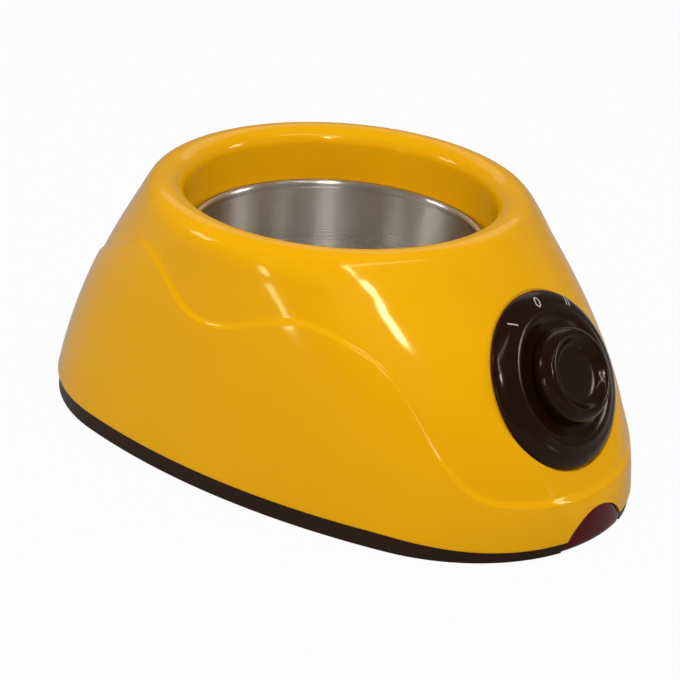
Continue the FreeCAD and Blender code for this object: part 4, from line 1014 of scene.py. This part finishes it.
@dataclass(frozen=True)
class Vessel:
    """The lift-out pot and the heated dish under it."""

    rim_outer: float = 47.3
    rim_inner: float = 44.6
    rim_level: float = 65.7
    wall: float = 1.0
    depth: float = 40.0
    taper: float = 2.5
    flange_top: float = 62.0
    dish_wall: float = 0.8
    dish_gap: float = 0.5
    dish_flange: float = 6.4
    ear_turns: tuple[int, int, int] = (90, 210, 330)
    ear_reach: float = 55.5
    stud_reach: float = 25.0

    def pot(self) -> bpy.types.Object:
        """Make the pot: a tapered bowl with a rolled rim and a small step under it."""
        floor = self.rim_level - self.depth
        outer = self.rim_inner + self.wall
        profile = rounded([
            (0, floor - self.wall, 0), (outer - self.taper, floor - self.wall, 9.0),
            (outer, self.flange_top + 0.3, 0.3), (self.rim_outer, self.flange_top + 0.3, 0.5),
            (self.rim_outer, self.rim_level, 1.3), (self.rim_inner, self.rim_level, 1.3),
            (self.rim_inner, self.rim_level - 2.2, 0.3), (self.rim_inner + 0.4, self.rim_level - 2.6, 0.3),
            (self.rim_inner - self.taper, floor, 8.0), (0, floor, 0),
        ], steps=10)
        mesh = POT_SEAT.place(lathe(profile, 200))
        return show("pot_bowl", mesh, "pot", Finishes.ALUMINIUM, ("pot",), 40.0)

    def dish(self) -> bpy.types.Object:
        """Make the dish: a pan with a flange, three ears for its screws and three studs."""
        floor = self.rim_level - self.depth - self.wall - 0.3
        top = self.rim_inner + self.wall + self.dish_gap
        under = floor - self.dish_wall
        profile = rounded([
            (0, under, 0), (top - self.taper + self.dish_wall, under, 9.8),
            (top + self.dish_wall, self.flange_top - self.dish_wall, 0.6),
            (top + self.dish_flange, self.flange_top - self.dish_wall, 0.2),
            (top + self.dish_flange, self.flange_top, 0.2), (top, self.flange_top, 0.7),
            (top - self.taper, floor, 9.0), (0, floor, 0),
        ], steps=9)
        parts = [POT_SEAT.place(lathe(profile, 160))]
        for turn in self.ear_turns:
            way = math.radians(turn)
            ear = rounded([(1.35, 61.22, 0), (4.2, 61.22, 0.1), (4.2, 61.98, 0.1), (1.35, 61.98, 0)],
                          closed=True)
            stud = rounded([(0, 10.9, 0), (1.5, 10.9, 0.3), (1.5, under + 0.3, 0), (0, under + 0.3, 0)])
            for reach, shape, ring in ((self.ear_reach, ear, True), (self.stud_reach, stud, False)):
                seat = Seat((reach * math.cos(way), POT_SEAT.origin[1] + reach * math.sin(way), 0.0))
                parts.append(seat.place(lathe(shape, 32, closed=ring)))
        return show("dish_pan", joined(parts), "base", Finishes.PRESSED, ("heating_dish",), 40.0)

    def gasket(self) -> bpy.types.Object:
        """Make the silicone ring between the dish's flange and the collar."""
        ring = rounded([(48.3, 62.0, 0.2), (51.5, 62.0, 0.2), (51.5, 62.8, 0.2), (48.3, 62.8, 0.2)],
                       closed=True)
        mesh = POT_SEAT.place(lathe(ring, 128, closed=True))
        return show("gasket_ring", mesh, "base", Finishes.SILICONE, ("dish_gasket",))


# Dial


@dataclass(frozen=True)
class Dial:
    """The brown dial: sloping skirt with its marks, and the knob with a dished face."""

    radius: float = 26.8
    foot: float = -1.2
    knob: float = 14.2
    hub: float = 5.5
    plate: float = 3.0
    stroke: float = 0.42

    def slope(self) -> Array:
        """Give the skirt's upper profile, from its edge over the ridge to the knob's foot."""
        return smooth_line(np.array([
            (26.8, -0.6), (26.78, 0.0), (26.35, 0.75), (25.6, 1.5), (24.6, 2.25), (23.6, 2.78), (22.5, 3.12),
            (21.6, 3.5), (20.8, 3.84), (19.9, 3.98), (18.9, 3.9), (17.8, 3.6), (16.8, 3.28), (15.9, 3.1),
            (14.9, 3.03), (13.7, 3.01),
        ]), 76)

    def skirt(self) -> bpy.types.Object:
        """Make the skirt by turning its upper profile and its hollow underside."""
        under = rounded([(self.hub + 0.02, 1.2, 0), (self.knob, 1.2, 1.0), (25.0, -0.7, 0.4),
                         (25.0, self.foot, 0.15), (26.75, self.foot, 0.25), (26.8, -0.7, 0)])
        profile = np.vstack([under, self.slope(), [(self.hub + 0.02, self.plate)]])
        mesh = DIAL_SEAT.place(lathe(profile, 180, closed=True))
        return show("dial_skirt_cap", mesh, "dial", Finishes.BROWN, ("dial_skirt",), 40.0)

    def knob_cap(self) -> bpy.types.Object:
        """Make the knob: a drum with a full shoulder and a dished face."""
        side = smooth_line(np.array([
            (13.6, 3.02), (13.95, 3.8), (14.35, 4.6), (14.5, 5.5), (14.45, 6.6), (14.25, 7.7), (13.9, 8.7),
            (13.35, 9.6), (12.65, 10.3), (11.85, 10.6), (11.05, 10.35), (10.35, 9.75), (9.65, 9.05),
            (8.85, 8.45), (7.8, 8.1), (6.0, 7.97), (3.0, 7.95), (0.0, 7.95),
        ]), 90)
        under = rounded([(0, 7.4, 0), (3.02, 7.4, 0), (3.02, 1.2, 0), (self.hub, 1.2, 0.2),
                         (self.hub, self.plate, 0), (13.5, self.plate, 0)])
        mesh = DIAL_SEAT.place(lathe(np.vstack([under, side]), 160))
        return show("dial_knob_cap", mesh, "dial", Finishes.BROWN, ("dial_knob",), 40.0)

    def ribbon(self, line: Array, turn: float, closed: bool) -> Mesh:
        """Lay a printed stroke on the skirt.

        The stroke's line is given across and along the radius. Its two edges lie half a stroke to
        each side, and each point takes the skirt's height at its radius.

        Args:
            line: Rows of across and outwards from the dial's middle, before the turn.
            turn: Degrees clockwise from the top, seen from outside.
            closed: True for a loop.

        Returns:
            A closed thin solid in the frame.
        """
        ahead = np.roll(line, -1, 0) - np.roll(line, 1, 0)
        if not closed:
            ahead[0], ahead[-1] = line[1] - line[0], line[-1] - line[-2]
        ahead /= np.linalg.norm(ahead, axis=1, keepdims=True)
        side = np.stack([-ahead[:, 1], ahead[:, 0]], axis=1) * self.stroke / 2
        slope = self.slope()[::-1]
        rails = []
        for edge, lift in ((1, -0.12), (1, 0.05), (-1, 0.05), (-1, -0.12)):
            flat = line + edge * side
            reach = np.linalg.norm(flat, axis=1)
            rails.append(np.column_stack([flat, np.interp(reach, slope[:, 0], slope[:, 1]) + lift]))
        ring = np.stack(rails, axis=1)
        way = math.radians(turn)
        spin = np.array([[math.cos(way), -math.sin(way), 0], [math.sin(way), math.cos(way), 0], [0, 0, 1]])
        points = ring.reshape(-1, 3) @ spin
        faces = grid_faces(len(line), 4, wrap_rows=closed)
        if not closed:
            faces += [(3, 2, 1, 0), tuple(range(len(points) - 4, len(points)))]
        return DIAL_SEAT.place((points, faces))

    def mark(self, line: Array, reach: float, turn: float, lean: float, closed: bool = False) -> Mesh:
        """Lean a stroke about its own middle and lay it at a distance and a turn from the top."""
        way = math.radians(lean)
        spin = np.array([[math.cos(way), -math.sin(way)], [math.sin(way), math.cos(way)]])
        return self.ribbon(line @ spin + [0, reach], turn, closed)

    def marks(self) -> bpy.types.Object:
        """Print one bar, a nought and two bars on the skirt."""
        along = np.linspace(-1, 1, 9)[:, None]
        turn = np.arange(40) * TAU / 40
        loop = np.stack([0.85 * np.cos(turn), 1.45 * np.sin(turn)], axis=1)
        strokes = [self.mark(along * [0, 1.55], 23.95, -32.6, -27.0), self.mark(loop, 23.2, 1.0, 10.0, True)]
        for shift in (-0.6, 0.6):
            strokes.append(self.mark(along * [0, 1.35] + [shift, 0], 24.2, 35.5, 0.0))
        return show("dial_marks", joined(strokes), "dial", Finishes.MARK, crease=40.0)


# Sealed parts


@dataclass(frozen=True)
class SealedParts:
    """The parts inside, which keep their CAD shape and get a finish each."""

    nodes: dict[str, bpy.types.Object]

    def dress(self) -> None:
        """Give each frame node that is still shown its finish."""
        wear = {
            Finishes.STEEL: ("dish_screws", "clamp_plate", "heat_shield", "clamp_nuts", "shield_spacers",
                             "shield_nuts", "thermostat_bracket", "bracket_screws", "fuse_clip",
                             "switch_shaft", "switch_nut"),
            Finishes.MICA: ("upper_mica", "lower_mica"),
            Finishes.ELEMENT: ("heating_element",),
            Finishes.PHENOLIC: ("thermostat", "rotary_switch"),
            Finishes.BRASS: ("switch_terminals", "terminal_screws"),
            Finishes.NYLON: ("thermal_fuse", "lamp_holder", "terminal_block"),
            Finishes.LAMP: ("indicator_lamp",),
            Finishes.SLEEVE: ("thermostat_lead", "switch_lead", "fuse_lead", "element_lead"),
        }
        for finish, names in wear.items():
            for name in names:
                data = self.nodes[name].data
                data.materials.clear()
                data.materials.append(finish.value.material())
                LOG.info("%s wears %s", name, finish.value.name)


# Floor, light and camera


LAMP_TARGET = np.array([0.0, 0.0, 0.04])


@dataclass(frozen=True)
class Lamp:
    """A rectangular light that looks at the object; the roll turns it about its own direction."""

    name: str
    azimuth: float
    elevation: float
    size: tuple[float, float]
    power: float
    glossy: bool = True
    distance: float = 1.2
    roll: float = 0.0

    def build(self) -> None:
        """Make the light; a wide one gives soft light alone, and a narrow one draws a streak."""
        data = bpy.data.lights.new(self.name, "AREA")
        data.shape = "RECTANGLE"
        data.size, data.size_y = self.size
        data.energy = self.power
        lamp = linked(self.name, data)
        lamp.visible_glossy = self.glossy
        lamp.visible_camera = False
        back = heading(self.azimuth, self.elevation)
        lamp.matrix_world = look(LAMP_TARGET + back * self.distance, back, math.radians(self.roll))


def heading(azimuth: float, elevation: float) -> Array:
    """Give the unit direction towards an azimuth from -Y round to +X and an elevation, in degrees."""
    turn, rise = math.radians(azimuth), math.radians(elevation)
    return np.array([math.sin(turn) * math.cos(rise), -math.cos(turn) * math.cos(rise), math.sin(rise)])


def look(place: Array, back: Array, roll: float = 0.0) -> Matrix:
    """Make the matrix of something that looks away from its back direction.

    Args:
        place: Where it stands.
        back: Unit direction from what it looks at.
        roll: Turn about that direction, in radians.

    Returns:
        Its world matrix.
    """
    side = np.cross([0.0, 0.0, 1.0], back)
    side /= np.linalg.norm(side)
    above = np.cross(back, side)
    x = math.cos(roll) * side + math.sin(roll) * above
    y = -math.sin(roll) * side + math.cos(roll) * above
    matrix = np.eye(4)
    matrix[:3, 0], matrix[:3, 1], matrix[:3, 2], matrix[:3, 3] = x, y, back, place
    return Matrix(matrix.tolist())


@dataclass(frozen=True)
class Studio:
    """The pale floor, the soft light and the camera."""

    floor_half: float = 3000.0
    floor_grey: float = 0.35
    floor_seen: float = 0.97
    floor_mirrored: float = 0.15
    azimuth: float = -52.34
    elevation: float = 23.45
    roll: float = 4.39
    distance: float = 0.809
    target: tuple[float, float, float] = (0.0, 0.0, 0.041)
    focal_pixels: float = 2607.0
    frame_pixels: float = 680.0
    shift_pixels: tuple[float, float] = (6.3, -28.8)
    sensor: float = 36.0

    def floor(self) -> None:
        """Make the floor: grey for the light, white to the camera, and lighter in gloss and glass."""
        half = self.floor_half
        square = np.array([(-half, -half, 0), (half, -half, 0), (half, half, 0), (-half, half, 0)])
        floor = solid("studio_floor", (square, [(0, 1, 2, 3)]))
        tree = Tree("studio_paper")
        tree.put({"Base Color": (*[self.floor_grey] * 3, 1), "Roughness": 0.9, "Specular IOR Level": 0.1})
        path = tree.add("LightPath")
        mirrored = tree.math("MAXIMUM", path.outputs["Is Glossy Ray"], path.outputs["Is Transmission Ray"])
        seen = tree.math("MAXIMUM", tree.math("MULTIPLY", path.outputs["Is Camera Ray"], self.floor_seen),
                         tree.math("MULTIPLY", mirrored, self.floor_mirrored))
        glow = tree.add("Emission", Strength=1.0)
        mix = tree.feed(tree.add("MixShader"), (seen, tree.shader.outputs[0], glow.outputs[0]))
        tree.links.new(mix, tree.nodes["Material Output"].inputs["Surface"])
        floor.data.materials.append(tree.material)
        floor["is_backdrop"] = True

    def world(self) -> None:
        """Make the room: dim all round, and a little lighter near the horizon."""
        world = bpy.data.worlds.new("studio_room")
        bpy.context.scene.world = world
        world.use_nodes = True
        nodes, links = world.node_tree.nodes, world.node_tree.links
        place = nodes.new("ShaderNodeTexCoord")
        parts = nodes.new("ShaderNodeSeparateXYZ")
        ramp = nodes.new("ShaderNodeMapRange")
        for name, number in (("From Min", 0.1), ("From Max", 0.7), ("To Min", 0.22), ("To Max", 0.2)):
            ramp.inputs[name].default_value = number
        links.new(place.outputs["Generated"], parts.inputs[0])
        links.new(parts.outputs[2], ramp.inputs["Value"])
        links.new(ramp.outputs[0], nodes["Background"].inputs["Color"])
        nodes["Background"].inputs["Strength"].default_value = 1.0

    def lamps(self) -> None:
        """Make the lights: wide soft ones for the level, and narrow ones for the streaks."""
        for lamp in (
            Lamp("overhead", 0.0, 70.0, (0.9, 0.9), 3.3, glossy=False),
            Lamp("left", -105.0, 35.0, (0.7, 0.7), 2.9, glossy=False),
            Lamp("front", -52.0, 28.0, (0.6, 0.4), 2.2, glossy=False),
            Lamp("rear", 128.0, 40.0, (1.2, 0.5), 1.4),
            Lamp("pot_front", 39.0, 26.0, (0.22, 0.25), 2.0),
            Lamp("pot_rear", -137.0, 24.0, (0.3, 0.25), 2.2),
            Lamp("streak_high", -37.2, 39.8, (0.075, 0.12), 2.0),
            Lamp("streak_bar", -43.0, 51.0, (0.03, 0.26), 1.1, roll=16.0),
            Lamp("streak_top", -12.0, 60.0, (0.75, 0.05), 1.1),
            Lamp("streak_left", -95.3, 2.3, (0.025, 0.11), 0.16, distance=0.5),
            Lamp("streak_right", 27.0, 1.0, (0.05, 0.1), 0.07),
        ):
            lamp.build()

    def camera(self) -> None:
        """Set the camera at the photograph's angle, with its frame taken as square."""
        data = bpy.data.cameras.new("view")
        camera = linked("view", data)
        back = heading(self.azimuth, self.elevation)
        camera.matrix_world = look(np.array(self.target) + back * self.distance, back, math.radians(self.roll))
        data.sensor_width = self.sensor
        data.lens = self.focal_pixels / self.frame_pixels * self.sensor
        data.shift_x = -self.shift_pixels[0] / self.frame_pixels
        data.shift_y = self.shift_pixels[1] / self.frame_pixels
        data.clip_start, data.clip_end = 0.01, 20.0
        bpy.context.scene.camera = camera

    def build(self) -> None:
        """Set everything round the object."""
        self.floor()
        self.world()
        self.lamps()
        self.camera()
        bpy.context.scene.view_settings.view_transform = "Standard"


def corners() -> list[list[float]]:
    """Give the shown object's lowest and highest corner as plain lists."""
    return [list(corner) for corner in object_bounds()]


def main() -> None:
    """Build every sub-assembly in order."""
    logging.basicConfig(level=logging.INFO, format="%(message)s")
    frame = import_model()
    Housing().build()
    base = Base()
    base.pan()
    base.sleeves()
    base.feet()
    base.screws()
    Lens().build()
    CordInlet().build()
    vessel = Vessel()
    vessel.pot()
    vessel.dish()
    vessel.gasket()
    dial = Dial()
    dial.skirt()
    dial.knob_cap()
    dial.marks()
    SealedParts(frame["nodes"]).dress()
    Studio().build()


if __name__ == "__main__":
    main()
